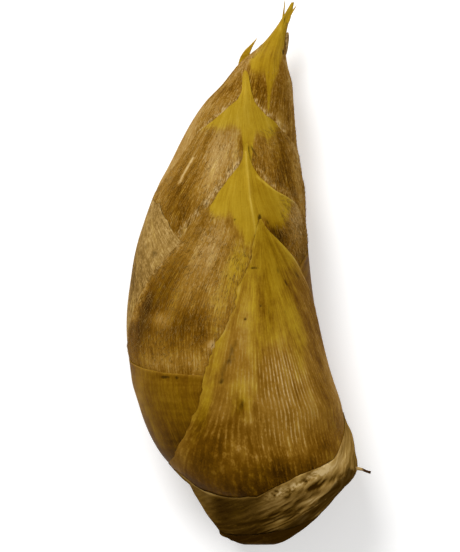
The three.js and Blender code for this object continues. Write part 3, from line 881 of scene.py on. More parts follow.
# %% sheath_1
def tones_1(at):
    """Yellow over a wavy line and ribbed brown under it, with pale torn margins."""
    yellow_foot = [(-30, -66), (-19, -58), (-14.5, -56), (-12, -45), (-9, -43), (-5, -50),
                   (1, -52), (3.4, -46), (5, -34), (8, -26), (12, -24), (15, -27), (19, -33),
                   (22, -26), (25, -12), (28, -2), (31, 6)]
    yellow = below_line(at, yellow_foot, 16) * smooth((60 - np.abs(at.angle - 14)) / 30)
    yellow = lerp(0.5, 0.85, smooth((at.y + 36) / 30)) * yellow - marks(at, [
        (-5.5, -30, 11, 3, 12, 0.6), (-4, -14, 13, 4, 20, 0.42), (22, -14, 14, 3, -18, 0.4),
        (-10, -50, 9, 3.2, 14, 0.4), (15, -2, 10, 3, -24, 0.35), (6, -10, 14, 3, 0, 0.3),
        (-1, -24, 14, 3, 8, 0.15)])
    shade = 0.4 + marks(at, [
        (0, -16, 15, 2.6, 4, 0.1), (12, -18, 10, 3, -10, 0.04), (7, -10, 15, 3, -4, -0.14),
        (9, -45, 17, 8, -6, 0.13), (-15, -47, 8, 3, 18, 0.1), (0.5, -38, 12, 3, 0, 0.12),
        (9, 12, 8, 4, -20, -0.1), (15, -2, 12, 5, -28, -0.14), (24, -24, 16, 4, -14, -0.09),
        (-1.8, -46.6, 3.4, 2, 10, -0.22), (-15, -62, 8, 7, 25, -0.16), (-8, -56, 8, 5, 10, -0.1),
        (28, -60.5, 6, 3, -25, -0.2), (-15.5, -50, 9, 3, 20, -0.26), (23, -66, 4, 5, 0, -0.06),
        # On the next line, the wide dark marks across the foot are partly painted shade, where it
        # slopes down away from the light.
        (8, -60, 9, 14, 0, -0.08), (10, -69, 5, 22, 0, -0.2), (4.5, -77, 6, 22, 0, -0.34),
        (29, -45, 8, 3, -15, -0.04), (32, -54, 9, 3.5, -16, -0.14), (31, -38, 12, 3, -16, 0.1),
        (-16, -68, 8, 6, 40, -0.1)])
    ragged = 0.5 + 0.8 * noise(at.s * 0.5, at.angle * 0.1, 52)
    shade = shade + 0.22 * ragged * near_margin(at, 0.7) * smooth((at.s + 40) / 25)
    shade = shade + 0.12 * band(at, [(9.6, 14.6), (15.6, 8.2), (21, 1), (22.8, -4.5)], 1.4)
    stain_and_shade = marks(at, [
        (29.5, -68.4, 1.8, 1.4, 0, 1.2), (31.5, -53, 5, 2, -20, 0.35),
        (2.8, 2.4, 0.5, 1.3, 0, 1.2), (14.2, -3, 1.5, 0.45, -26, 0.9),
        (11.3, 1.5, 2.2, 0.8, -14, 0.4), (-0.4, -15.6, 0.6, 0.6, 0, 1.2),
        (5, -10.9, 0.7, 0.6, 0, 1), (-5, -27, 4, 1.6, 0, 0.45), (-8, -34, 5, 1.8, 8, 0.45),
        (-3.6, -24, 1.6, 0.9, 20, 0.4), (-6.4, -30.5, 1.4, 1, 0, 0.35),
        (-4.2, -31, 2, 0.8, 10, 0.3), (-8.8, -37.5, 1.6, 0.8, 60, 0.4),
        (-1, -29, 2.4, 1.6, 0, 0.4), (-1.8, -46.6, 3, 1.2, 10, 0.6), (18, 0, 3, 0.8, -30, 0.6),
        (4, -2, 3, 1.2, 0, 0.4), (14, -14, 4, 1.2, -10, 0.35), (8, -13, 4, 1, 0, 0.4),
        (-5.5, -6.5, 3, 1, 10, 0.5), (10, -60, 2, 8, 10, 0.35), (24, -50, 6, 2, -16, 0.35)])
    ribbed = marks(at, [(13, -36, 15, 8, -14, 0.95), (-8, -56, 9, 6, 12, 0.25),
                        (14, -58, 8, 10, 0, 0.25), (-2, -40, 12, 5, 0, 0.12)])
    ribbed = 0.08 + ribbed * smooth((-20 - at.y) / 16)
    fuzz = 0.25 + marks(at, [(27, -20, 30, 5, -14, 0.5), (6, -62, 14, 26, 0, 0.4)])
    return dict(yellow=yellow, stain_and_shade=stain_and_shade, shade=shade, ribbed=ribbed, fuzz=fuzz)


def lift_1(at):
    """The margins curl up by up to 0.16 mm, in some places more than in others."""
    ragged = 0.5 + 0.5 * noise(at.s * 0.4, 1, 31)
    return 0.16 * ragged * near_margin(at, 1.4)


sheath_1 = make_sheath("sheath_1", 512, 150, tones_1, ribs=0.035, jag=(0.9, 0.2), relief=lift_1)
finish(sheath_1, sheath_finish("outer front sheath", 1, rib_light=0.6, contrast=0.9))

# %% [markdown]
# ## The other front sheaths
# Their points are blades: a fan of bright yellow with a raised keel, over a brown hairy back.
# They could be copies of one leaf, but each has its own outline, stains and point, so they only
# share the way they are made: one function raises the keel, and each has its own tones.

# %% sheath_3, sheath_5, sheath_7
def tones_3(at):
    """Yellow over a toothed line, brown and hairy under it, and worn dark on the left."""
    foot = [(-40, 30), (-18, 26), (-14.8, 25), (-12.5, 22), (-9, 20.5), (-7, 20.8), (-5.5, 20.5),
            (-4, 18), (-1.5, 15), (0.6, 12), (2.5, 12), (3.6, 13.5), (4.4, 19.5), (6, 19.8),
            (9.5, 17.6), (12.7, 16.8), (14.6, 19.5), (16.6, 26), (22, 34)]
    yellow = below_line(at, foot, 8) * smooth((76 - np.abs(at.angle - 20)) / 22)
    yellow = yellow + marks(at, [(-2.5, 4, 12, 4, 4, 0.62), (-8, -8, 14, 4, 12, 0.4)])
    shade = 0.35 + 0.07 * yellow + marks(at, [
        (-16, 6, 15, 8, 30, 0.24), (-9, -12, 16, 5, 8, 0.12), (-28, -4, 17, 4.6, 28, -0.24),
        (-37, -17, 12, 4, 10, -0.24), (-37.5, -9, 5, 4, 0, -0.1), (-14, -20, 6, 9, 60, -0.12),
        (-24, -31, 3.4, 13, 0, 0.12), (-24, -19, 8, 5, 20, -0.2), (-31, -15.8, 2.6, 3.4, 0, 0.34),
        # The dark mark at (11, 14) on the next line is painted shadow in the hollow beside the
        # outer leaf's right margin.
        (-12.4, -24.8, 1.8, 1.6, 0, 0.5), (11, 14, 6, 3, -20, -0.34), (18.5, 19, 8, 2.4, -10, 0.3),
        (20, 4, 10, 3, -8, -0.16), (-4, 33, 9, 2.4, 16, 0.06), (6, 28, 9, 3, -28, -0.08),
        (1.4, 27, 12, 0.8, -6, 0.12)])
    shade = shade + 0.24 * band(at, [(-0.2, 44), (0.6, 36), (1.4, 27), (2.6, 20), (3.4, 14)], 0.4)
    shade = shade + 0.26 * band(at, [(3.8, 35), (8, 31.6), (14.5, 27.8), (17.4, 26)], 0.45)
    left = [(-24, 11), (-30, 5), (-36, -3), (-40, -15)]
    shade = shade + 0.16 * band(at, left, 1.8)
    # The black marks at x 4.6 and 7.5 are painted shadow under the torn right end of the yellow,
    # and the one at x 10 painted shadow in the hollow beside the outer leaf.
    stain_and_shade = marks(at, [(-13, -22, 3, 6, 70, 0.3), (4.6, 20.3, 0.8, 1.4, 90, 0.9),
                       (7.5, 18.8, 0.6, 1.2, 60, 0.7), (-4, 19.5, 0.6, 0.6, 0, 1),
                       (10, 13.6, 3, 2.4, -30, 0.35)])
    fringe = 0.7 * band(at, left, 1.6)
    fringe = fringe + marks(at, [(18.6, 17, 8, 2.6, -8, 0.6), (-14, 14, 8, 6, 30, 0.5),
                                 (-2.5, 5, 10, 1.6, 8, 0.5)])
    fuzz = np.clip(1.05 - yellow, 0.12, 1) * 0.65 - marks(at, [
        (-29, -4, 17, 6, 28, 0.45), (-37, -17, 12, 5, 10, 0.45), (-24, -19, 8, 6, 20, 0.4)])
    return dict(yellow=yellow, shade=shade, stain_and_shade=stain_and_shade, ribbed=0.25, fuzz=fuzz, fringe=fringe)


def tones_5(at):
    """A yellow fan whose middle reaches down, over a brown back with fringed margins."""
    foot = [(-25, 60), (-18, 54), (-14, 53), (-8, 53), (-4, 53.5), (-2, 51.5), (-1.3, 48),
            (-0.9, 42), (0, 38), (1.8, 42), (2.6, 47), (3.4, 50.5), (6, 50), (8, 48.5), (9.5, 51),
            (12, 53.5), (16, 58)]
    yellow = below_line(at, foot, 7) * smooth((62 - np.abs(at.angle + 2)) / 18)
    shade = 0.44 + 0.05 * yellow + marks(at, [
        (0.3, 54, 14, 1.4, 0, 0.06), (-26, 30, 10, 4, 30, -0.1), (-23, 22, 8, 5, 30, -0.18),
        (-10, 42, 9, 5, 24, 0.1), (-14, 46, 7, 5, 30, 0.1), (-10, 38, 14, 5, 24, 0.08),
        # The dark mark at (4, 39) on the next line is painted shadow beside the point of the leaf
        # over it.
        (4, 39, 7, 2.4, -24, -0.2), (13.5, 36, 17, 4, -12, -0.22), (20, 30, 18, 2.2, -6, 0.06),
        (-1.6, 47, 3, 1.4, 10, -0.2), (-21, 31, 10, 2, 30, -0.06), (-29, 34, 12, 2.4, 30, 0.06)])
    shade = shade + 0.5 * band(at, [(-19, 41.8), (-21.6, 37.6), (-24, 32.8)], 0.4)
    # The first dark line, at (2.6, 44.4), is painted shadow under the right margin of the point
    # over it.
    stain_and_shade = marks(at, [(2.6, 44.4, 3.4, 0.6, -30, 0.7), (13, 36, 9, 2, -14, 0.35),
                       (-13.8, 51.4, 0.5, 1.6, 60, 0.6)])
    fringe = band(at, [(-3, 39.6), (-6.4, 35.6), (-10, 31), (-14, 25.6), (-20, 19.4),
                       (-25, 13.6)], 1.2)
    fringe = fringe + 0.8 * band(at, [(3.6, 39.4), (7, 34), (12, 30.4), (17.3, 27.4)], 0.9)
    fringe = fringe + 0.5 * band(at, [(15, 51), (18, 46), (20, 40)], 1.6)
    shade = shade + 0.14 * np.clip(fringe, 0, 1)
    fuzz = np.clip(1.05 - yellow, 0.12, 1) * 0.85
    return dict(yellow=yellow, shade=shade, stain_and_shade=stain_and_shade, ribbed=0.2, fuzz=fuzz, fringe=fringe)


def tones_7(at):
    """A yellow wedge that opens towards the tip, on a brown hairy back with fringed lines."""
    foot = [(-6, 84), (-1, 79.5), (1, 76.5), (2.5, 73.8), (5.2, 73.4), (6.5, 73.2), (7.1, 71),
            (7.5, 65), (7.9, 58), (8.3, 60), (8.8, 64), (9.9, 69), (11.1, 72), (12, 75), (13, 79),
            (14, 84), (15, 92)]
    yellow = below_line(at, foot, 6) - 0.7 * band(at, [(5, 83), (1.4, 79), (-3, 73)], 1.3)
    shade = 0.42 + marks(at, [
        # The dark mark at (3.6, 67.5) is painted shadow beside the raised point of the leaf over
        # it.
        (3.6, 67.5, 7, 3, 2, -0.2), (13.5, 66, 12, 3, -6, -0.08), (-7, 66, 8, 4, 40, -0.06),
        (-9, 60, 5, 3, 40, 0.08), (-13, 62, 6, 3, 40, 0.12), (17.5, 62, 16, 1.2, -8, 0.1),
        # On the next line, (12.9, 89) is a painted highlight near the point, and (13.8, 86)
        # painted shade in the groove beside it.
        (5, 84, 6, 4, 40, -0.04), (12.9, 89, 4, 0.7, -14, 0.18), (13.8, 86, 8, 0.5, -8, -0.16)])
    shade = shade + 0.14 * band(at, [(3, 81), (-1, 76), (-6, 70)], 1.6)
    # The first two dark marks are painted shadow beside the raised point of the leaf over it.
    stain_and_shade = marks(at, [(3.6, 67, 6, 2, 4, 0.15), (1.8, 63, 5, 0.5, 0, 0.5),
                       (13.5, 80.8, 1.2, 0.5, 0, 1.2)])
    fringe = band(at, [(-2.6, 65), (-4.4, 61.6), (-8.6, 58.4), (-14, 54), (-17, 51)], 1.2)
    fringe = fringe + band(at, [(3.4, 62), (6.6, 58.4), (10, 56), (14, 52)], 1.1)
    fringe = fringe + 0.7 * band(at, [(4.6, 82), (1.4, 78.6), (-3, 73)], 1.0)
    fringe = fringe + 0.5 * band(at, [(14, 80), (15.5, 72), (17, 62)], 0.8)
    shade = shade + 0.12 * np.clip(fringe, 0, 1)
    fuzz = np.clip(1.05 - yellow, 0.12, 1) * 0.9
    return dict(yellow=yellow, shade=shade, stain_and_shade=stain_and_shade, ribbed=0.15, fuzz=fuzz, fringe=fringe)


def blade_lift(name, keel_height, tip_lift, reach):
    """A raised keel that fades down the leaf, a lifted point, and slightly curled margins."""
    tip = max(station for station, _ in KEELS[name])

    def lift(at):
        near_tip = smooth(1 - (tip - at.s) / reach)
        keel = keel_height * np.exp(-((from_keel(name, at.s, at.angle) / 1.1) ** 2))
        keel = keel * near_tip**0.5
        curl = 0.12 * (0.5 + 0.5 * noise(at.s * 0.5, 2, 35)) * near_margin(at, 1.2)
        return keel + tip_lift * near_tip**2 + curl

    return lift


sheath_3 = make_sheath("sheath_3", 384, 150, tones_3, ribs=0.05, jag=(0.4, 0.3),
                       relief=blade_lift("sheath_3", keel_height=0.6, tip_lift=0.55, reach=26))
finish(sheath_3, sheath_finish("second front sheath", 3, rib_light=0.4, contrast=0.8))
sheath_5 = make_sheath("sheath_5", 320, 140, tones_5, ribs=0.05, jag=(0.3, 0.3),
                       relief=blade_lift("sheath_5", keel_height=0.6, tip_lift=0.5, reach=20))
finish(sheath_5, sheath_finish("third front sheath", 5, rib_light=0.4))
sheath_7 = make_sheath("sheath_7", 256, 110, tones_7, ribs=0.05, jag=(0.2, 0.2),
                       relief=blade_lift("sheath_7", keel_height=0.4, tip_lift=0.0, reach=40))
finish(sheath_7, sheath_finish("tip sheath", 7, rib_light=0.3))

# %% [markdown]
# ## Back sheaths
# The back sheaths come round both sides: smooth olive gold on the outermost one, dry and hairy
# on the next, and yellow only near the tip. Most of them could be left out, since the front
# leaves hide them, but the part has to hold from every side, so each is a whole leaf.

# %% sheath_2, sheath_4, sheath_6, sheath_8, sheath_9
def in_front(at):
    """1 on the part of a back sheath that comes round to the front on the left."""
    return smooth((at.angle - 255) / 15)


def tones_2(at):
    """Smooth olive gold, a little paler and stained at its front margin."""
    front = in_front(at)
    yellow = 0.22 + front * marks(at, [(-27, -44, 10, 9, 0, 0.2)])
    shade = 0.2 + 0.12 * near_margin(at, 0.6) + marks(at, [
        (-28, -42, 6, 9, 90, 0.04), (-40, -46, 14, 3, 10, 0.2), (-24, -62, 9, 8, 0, -0.12)])
    shade = shade + 0.03 * noise(at.x * 0.12, at.y * 1.2, 57)
    shade = shade + 0.45 * front * band(at, [(-29, -34.2), (-14, -35)], 0.4)
    stain_and_shade = front * marks(at, [(-29, -36.3, 0.6, 2, 0, 0.9), (-24.6, -36.4, 0.8, 0.8, 0, 0.8)])
    return dict(yellow=yellow, shade=shade, stain_and_shade=stain_and_shade, ribbed=0, fuzz=0.2)


def tones_4(at):
    """Dry and hairy, with a fringe at its margin and a dark stain in front."""
    shade = 0.46 + marks(at, [
        (-40, 0, 14, 3, 0, -0.14), (-28.5, 20, 4, 0.7, -28, 0.2), (-27, 8, 6, 3, 40, 0.06)])
    stain_and_shade = in_front(at) * marks(at, [(-32.8, 7.4, 1.6, 1.4, 0, 0.7), (-36, 10, 2, 1.6, 0, 0.4)])
    fringe = 0.35 + 0.4 * near_margin(at, 2)
    return dict(yellow=0, shade=shade, stain_and_shade=stain_and_shade, ribbed=0.06, fuzz=0.8, fringe=fringe)


def tones_6(at):
    """Brown and hairy, and smooth yellow towards its point."""
    yellow = smooth((at.y - 71) / 8)
    shade, fuzz = 0.6 - 0.05 * yellow, 0.8 - 0.6 * yellow
    return dict(yellow=yellow, shade=shade, stain_and_shade=0, ribbed=0.12, fuzz=fuzz)


def tones_8(at):
    """Brown and hairy, with one dark line."""
    stain_and_shade = marks(at, [(14.5, 82, 3, 0.6, 0, 0.9)])
    return dict(yellow=0, shade=0.5, stain_and_shade=stain_and_shade, ribbed=0.1, fuzz=0.7)


def tones_9(at):
    """Smooth and yellow all over."""
    return dict(yellow=1, shade=0.5, stain_and_shade=0, ribbed=0.2, fuzz=0.1)


sheath_2 = make_sheath("sheath_2", 320, 90, tones_2, ribs=0, jag=(0.15, 0))
finish(sheath_2, sheath_finish("outer back sheath", 2, rib_light=0.3, contrast=0.3))
sheath_4 = make_sheath("sheath_4", 256, 80, tones_4, ribs=0.04, jag=(0.9, 0))
finish(sheath_4, sheath_finish("second back sheath", 4, rib_light=0.3, contrast=0.7, browns=DRY))
sheath_6 = make_sheath("sheath_6", 256, 100, tones_6, ribs=0.04, jag=(0.2, 0.2))
finish(sheath_6, sheath_finish("third back sheath", 6, rib_light=0.3, contrast=0.8))
sheath_8 = make_sheath("sheath_8", 128, 80, tones_8, ribs=0.03, jag=(0.2, 0.2))
finish(sheath_8, sheath_finish("worn nub", 8, rib_light=0.3))
sheath_9 = make_sheath("sheath_9", 96, 80, tones_9, ribs=0.03)
finish(sheath_9, sheath_finish("innermost sheath", 9, rib_light=0.3))

# %% [markdown]
# ## Collars
# Two older sheaths were torn off at the foot, and their crumpled collars stayed. Cloth could be
# pushed together to fold like this, but folds from slanting noise need no simulation and meet
# without a step where the ring closes. The same folds are also painted on the skin, lighter and
# darker, as light and shade on them.

# %% Collars
def wrinkles(s, angle):
    """Slanting folds and finer creases, both -1 to 1: noise drawn out along lines that climb by
    30 degrees as they go round. Both fade out at the back."""
    over, along = slanting(s, angle)
    coarse = noise(over * 0.42 + 0.6 * noise(along * 0.07, 4, 46), along * 0.07, 44)
    creases = noise(over * 1.5 + noise(along * 0.3, 5, 47), along * 0.22, 45)
    seam = smooth((172 - np.abs(angle)) / 30)
    return (0.8 * coarse + 0.2 * creases) * seam, creases * seam


def calm(angle):
    """1 in front, falling to 0.35 on the sides and at the back, where the folds are fainter."""
    return lerp(1, 0.35, smooth((np.abs(angle) - 45) / 45))


def tones_upper(at):
    """Darkest in the middle and paler on both sides, with pale creases, and a pale fibrous rim
    on the right. Painted light and shade lie on the folds, painted highlights on the rim, and
    painted shade and shadow in the hollows, the crease and gap at the foot, and at the lower
    right."""
    folds, fine = wrinkles(at.s, at.angle)
    right = smooth((at.x - 2) / 8) * calm(at.angle)
    front = smooth((110 - np.abs(at.angle)) / 20)
    shade = 0.09 + 0.16 * smooth((-9 - at.x) / 5) + 0.17 * smooth((at.x - 4) / 14)
    # The folds and creases are painted lighter and darker, as light and shade on them, and the
    # marks in front are painted highlights on the crumpled skin, with one painted shade between
    # them.
    shade = shade + (0.1 * folds + 0.26 * fine) * lerp(0.25, 1, right) + front * marks(at, [
        (8.5, -82.4, 6.5, 2.6, 70, 0.36), (22, -81, 5, 1.1, 68, 0.46), (20, -87, 3, 1, 50, 0.36),
        (11.5, -89.5, 4, 1.2, 40, 0.24), (17.5, -83.8, 5, 1.4, 66, -0.12),
        (34, -66, 6, 4, 30, 0.1)])
    rim = [(5.5, -79.4), (8.2, -78.5), (15.4, -75.9), (20.1, -73.2), (25.7, -70.6), (29, -69.4)]
    rim_part = smooth((at.x - 4) / 8) * smooth((34 - at.x) / 8)
    # The pale fibrous rim on the right carries painted highlights, broken up into blobs.
    highlight_blobs = 0.55 + 0.75 * noise(at.x * 1.3 + at.y * 0.5, at.y * 2.1, 58)
    shade = shade + 0.8 * front * highlight_blobs * band(at, rim, 1.7) * rim_part
    # A painted highlight along the margin, on the left and in front, softens the dark crease
    # there.
    edge = (0.22 + 0.2 * smooth((-8 - at.x) / 5)) * near_margin(at, 1)
    shade = shade + edge * smooth((75 - np.abs(at.angle)) / 20)
    shade = shade + 0.1 * band(at, [(24, -79), (34, -69)], 4)
    shade = shade + 0.2 * band(at, [(28, -69), (34, -67), (37.4, -60), (37.6, -52)], 2.2)
    # The dark line on the next line is painted shade under a fold.
    shade = shade - 0.2 * band(at, [(14, -79), (20, -77), (26.5, -74.7), (33, -71.5)], 0.9)
    shade = shade + 0.16 * band(at, [(21.7, -77.8), (30, -75), (37, -72.4)], 1.1)
    # The stain tone here is painted shade: in the hollows of the folds, in the crease and the gap
    # above the lower collar, and a painted shadow at the lower right, where the shoot meets the
    # table.
    dark = band(at, [(-2.9, -89.8), (6, -88), (12, -87), (18.5, -85.4)], 0.7)
    under = band(at, [(37.4, -71.8), (29.2, -80.4), (17.8, -90.4), (12, -95.4)], 2.0)
    stain_and_shade = 0.4 * np.clip(-folds, 0, 1) * right + 0.7 * dark + 1.7 * under + marks(at, [
        (3.5, -92, 7, 2.6, 80, 0.6)])
    # The fringe along the rim adds a fibrous, speckled texture with small painted glints.
    fuzz, fringe = 0.1 + 0.2 * right, 0.4 * front * band(at, rim, 1.6) * rim_part
    return dict(yellow=0.05, shade=shade, stain_and_shade=stain_and_shade, ribbed=0, fuzz=fuzz, fringe=fringe)


def tones_lower(at):
    """Very dark, with faint folds in painted light and shade, and a painted shadow at the lower
    right, where the shoot meets the table.
    """
    shade = 0.02 + 0.1 * wrinkles(at.s + 9, at.angle)[0]
    # A painted shadow at the lower right, where the shoot meets the table.
    under = band(at, [(29.2, -80.4), (17.8, -90.4), (12, -95.4)], 2.4)
    return dict(yellow=0.05, shade=shade, stain_and_shade=0.2 + 1.4 * under, ribbed=0, fuzz=0.2)


def crumple(at):
    """The folds stand out by up to 0.8 mm, and the rim of the front is rolled and uneven."""
    front = smooth((58 - np.abs(at.angle)) / 18)
    rim = (0.02 + 0.3 * front) * near_margin(at, 1.6) * (1 + 0.7 * noise(at.angle * 0.14, 2, 43))
    crease = band(at, [(-4.4, -90.6), (3.6, -88), (10.9, -87), (18.3, -85.5)], 0.7)
    fold = band(at, [(13.4, -79.4), (25.8, -74.4), (34.7, -72)], 1.2)
    folds = 0.6 * wrinkles(at.s, at.angle)[0] * smooth(at.within / 2.5)
    folds = folds * lerp(0.2, 1, smooth((at.x - 2) / 8)) * calm(at.angle)
    return folds + rim - 0.3 * crease - 0.4 * fold


collar_lower = make_sheath("collar_lower", 384, 40, tones_lower, ribs=0.04, jag=(0.3, 0),
                           relief=crumple)
finish(collar_lower, sheath_finish(
    "lower collar", 12, rib_light=0.3, contrast=0.3, gloss=0.0, browns=DRY))
collar_upper = make_sheath("collar_upper", 448, 70, tones_upper, ribs=0.03, jag=(0.35, 0),
                           relief=crumple)
finish(collar_upper, sheath_finish(
    "upper collar", 13, rib_light=0.3, contrast=0.3, gloss=0.0, browns=DRY))

# %% [markdown]
# ## Stem
# The stem fills what the sheaths leave, and only its cut foot shows. A plain cone could stand
# for it, but then it would come through the sheaths or leave a gap under them. Its rings lie as
# deep as all the layers together, so it stays close under the innermost sheath everywhere.

# %% Stem
def tube_faces(columns, rows, flip):
    """Faces of a closed tube of rings with a fan of triangles at both ends. The middle points of
    the two fans come after the rings."""
    quads, _, _ = grid_quads(0, columns, rows, True, flip)
    j = np.arange(columns)
    k = (j + 1) % columns
    if flip:
        j, k = k, j
    last, count = rows * columns, (rows + 1) * columns
    start_fan = np.stack([k, j, np.full(columns, count)], axis=1)
    end_fan = np.stack([last + j, last + k, np.full(columns, count + 1)], axis=1)
    return [quads, start_fan, end_fan]


def make_stem(columns=128, rows=100, foot=-93.8, point=62):
    """Rings at the depth under all sheaths, from the foot to a blunt end, closed by two fans.
    The last fifth narrows as half an ellipse does, and below FOOT_END the rings are narrower by
    a tenth."""
    t = np.linspace(0, 1, rows + 1)[:, None]
    angle = np.linspace(-180, 180, columns, endpoint=False)[None, :]
    s = lerp(foot, point, t**1.35) + 0 * angle
    angle = angle + 0 * s
    ring = np.maximum(s, FOOT_END)
    depth = depth_under(len(ORDER), ring, angle)
    blunt = np.sqrt(1 - np.maximum(0, (t - 0.8) / 0.2) ** 2 * 0.98)[..., None]
    core = skin(ring, 0 * angle, 1e9)
    points = skin(ring, angle, depth)
    core[..., 1] = points[..., 1]
    nub = lerp(1, 0.9, smooth((ring - s) / 0.8))[..., None]
    points = lerp(core, points, blunt * nub)
    points[..., 1] += s - ring
    points = np.concatenate([points.reshape(-1, 3), points[[0, -1]].mean(axis=1)])
    piece, _ = new_piece(PIECES["stem"], points, tube_faces(columns, rows, False))
    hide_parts("stem")
    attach(piece, "root")
    return piece


stem = make_stem()
print("stem faces:", len(stem.data.polygons))

# %% [markdown]
# ## Dry strip
# A thin strip of the torn collar curls out on the right. A curve with a bevel object could make
# it, but then its width and its thickness would always shrink together. So it is a tube of rings
# carried along a path, with a flat oval section that tapers to its dark dry point.

# %% Dry strip
def tube(name, path, sizes, columns=14):
    """A closed tube along a path of points in mm: at each one an oval ring of (side, height)
    half sizes, square to the path, and a fan of faces at both ends."""
    path = np.array(path, float)
    ahead = np.gradient(path, axis=0)
    ahead /= np.linalg.norm(ahead, axis=1, keepdims=True)
    side = np.cross(ahead, [0, 0, 1])
    side /= np.linalg.norm(side, axis=1, keepdims=True)
    over = np.cross(side, ahead)
    turn = np.linspace(0, 2 * np.pi, columns, endpoint=False)[None, :, None]
    wide, high = (np.array(sizes)[:, k, None, None] for k in (0, 1))
    offset = wide * np.cos(turn) * side[:, None] + high * np.sin(turn) * over[:, None]
    rings = path[:, None] + offset
    points = np.concatenate([rings.reshape(-1, 3), path[[0, -1]]])
    piece, _ = new_piece(name, points, tube_faces(columns, len(path) - 1, True))
    return piece


def plain_finish(name, low, high, per_metre, dark_from=None, rough=0.6):
    """Two tints in fine blotches, so many to a metre. dark_from is the x in metres where the
    colour turns dark."""
    material = bpy.data.materials.new(name)
    material.use_nodes = True
    tree = material.node_tree
    tree.nodes.clear()
    where = node(tree, "ShaderNodeTexCoord", out=3)
    spots = node(tree, "ShaderNodeTexNoise", {}, {
        "Vector": where, "Scale": per_metre, "Detail": 4})
    colour = mix(spots.step(0.35, 0.65), tint(*low), tint(*high))
    if dark_from:
        x = node(tree, "ShaderNodeSeparateXYZ", {}, {0: where})
        colour = mix(x.step(dark_from - 0.0006, dark_from + 0.001), colour, tint(60, 36, 8))
    dent = node(tree, "ShaderNodeBump", {}, {"Strength": 0.4, "Distance": 0.0003, "Height": spots})
    surface = node(tree, "ShaderNodeBsdfPrincipled", {}, {
        "Base Color": colour, "Roughness": rough, "Normal": dent, "Specular IOR Level": 0.05})
    node(tree, "ShaderNodeOutputMaterial", {}, {"Surface": surface})
    return material


finish(stem, plain_finish("cut stem", (50, 32, 5), (82, 58, 20), 900, rough=0.75))
STEPS = np.linspace(0, 1, 33)  # shares of the way along a tube
root = skin(np.array(-69.5), np.array(78.0), np.array(0.0))
bends = [(0, -3.0, 0.2, -0.3), (0.25, -0.4, 1.0, 0.6), (0.5, 2.0, 0.7, 0.9),
         (0.75, 3.9, -0.1, 0.5), (1, 5.3, -0.5, 0.0)]
path = root + np.stack([curve(bends, k)(STEPS) for k in (1, 2, 3)], axis=1)
thick = np.stack([0.9 - 0.9 * STEPS + 0.55 * STEPS**3, 0.42 - 0.22 * STEPS], axis=1)
strip = tube("torn_strip", path, thick)
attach(strip, "root")
finish(strip, plain_finish("dry strip", (140, 108, 54), (190, 158, 102), 900, dark_from=0.0416))
print("strip reaches x, mm:", round(float(path[-1, 0]), 1))

# %% [markdown]
# ## Free points
# Four narrow points stand clear of the tip: two prongs, the point of a back leaf and a worn nub.
# They could be drawn out of the leaves' own grids, but a point so long and free would stretch
# them badly. The same tube as for the strip makes them, flat and broad at the root.

# %% Free points
def spike(name, rows, material):
    """A tube through rows of x, y, z, half width and half thickness, all in mm."""
    table = [(k / (len(rows) - 1), *row) for k, row in enumerate(rows)]
    path, sizes = (np.stack([curve(table, k)(STEPS) for k in wanted], axis=1)
                   for wanted in ((1, 2, 3), (4, 5)))
    piece = tube(name, path, sizes)
    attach(piece, "root")
    finish(piece, material)


point_yellow = plain_finish("point yellow", (146, 110, 8), (176, 142, 30), 500)
point_brown = plain_finish("point brown", (92, 68, 28), (158, 130, 80), 1000)
spike("inner_leaf_point", [
    (13.2, 90.0, 14.4, 0.5, 0.3), (13.5, 93.2, 15.6, 0.42, 0.25), (13.8, 96, 16.2, 0.3, 0.15),
    (14.2, 100.0, 16.6, 0.1, 0.06)], point_yellow)
spike("front_leaf_4_prong", [
    (15.0, 91.6, 14.4, 0.5, 0.3), (16.2, 94.6, 15.4, 0.4, 0.22), (17.5, 96.6, 15.8, 0.26, 0.14),
    (18.5, 98.0, 16.0, 0.07, 0.05)], point_yellow)
spike("back_leaf_3_point", [
    (-2.6, 74.0, 10.6, 0.8, 0.3), (-0.9, 78.6, 12.6, 1.35, 0.3), (0.4, 81.0, 13.2, 1.15, 0.25),
    (1.9, 83.2, 13.6, 0.6, 0.18), (4.1, 86.2, 14.0, 0.06, 0.05)], point_yellow)
spike("back_leaf_4_point", [
    (13.4, 79.0, 13.0, 0.9, 0.45), (14.1, 82.0, 13.4, 1.1, 0.5), (14.6, 85.0, 13.6, 1.05, 0.45),
    (15.0, 87.2, 13.6, 0.75, 0.4), (15.3, 88.3, 13.6, 0.3, 0.25)], point_brown)
print("free points: 4")

# %% [markdown]
# ## Hairs
# The backs of the front leaves are covered with short stiff hairs that point to the tip, and
# denser fringes stand at the margins. Blender's own hair is lost when a model is exported, so
# each hair is a small closed spike of ten faces, and all hairs of a leaf are one mesh.

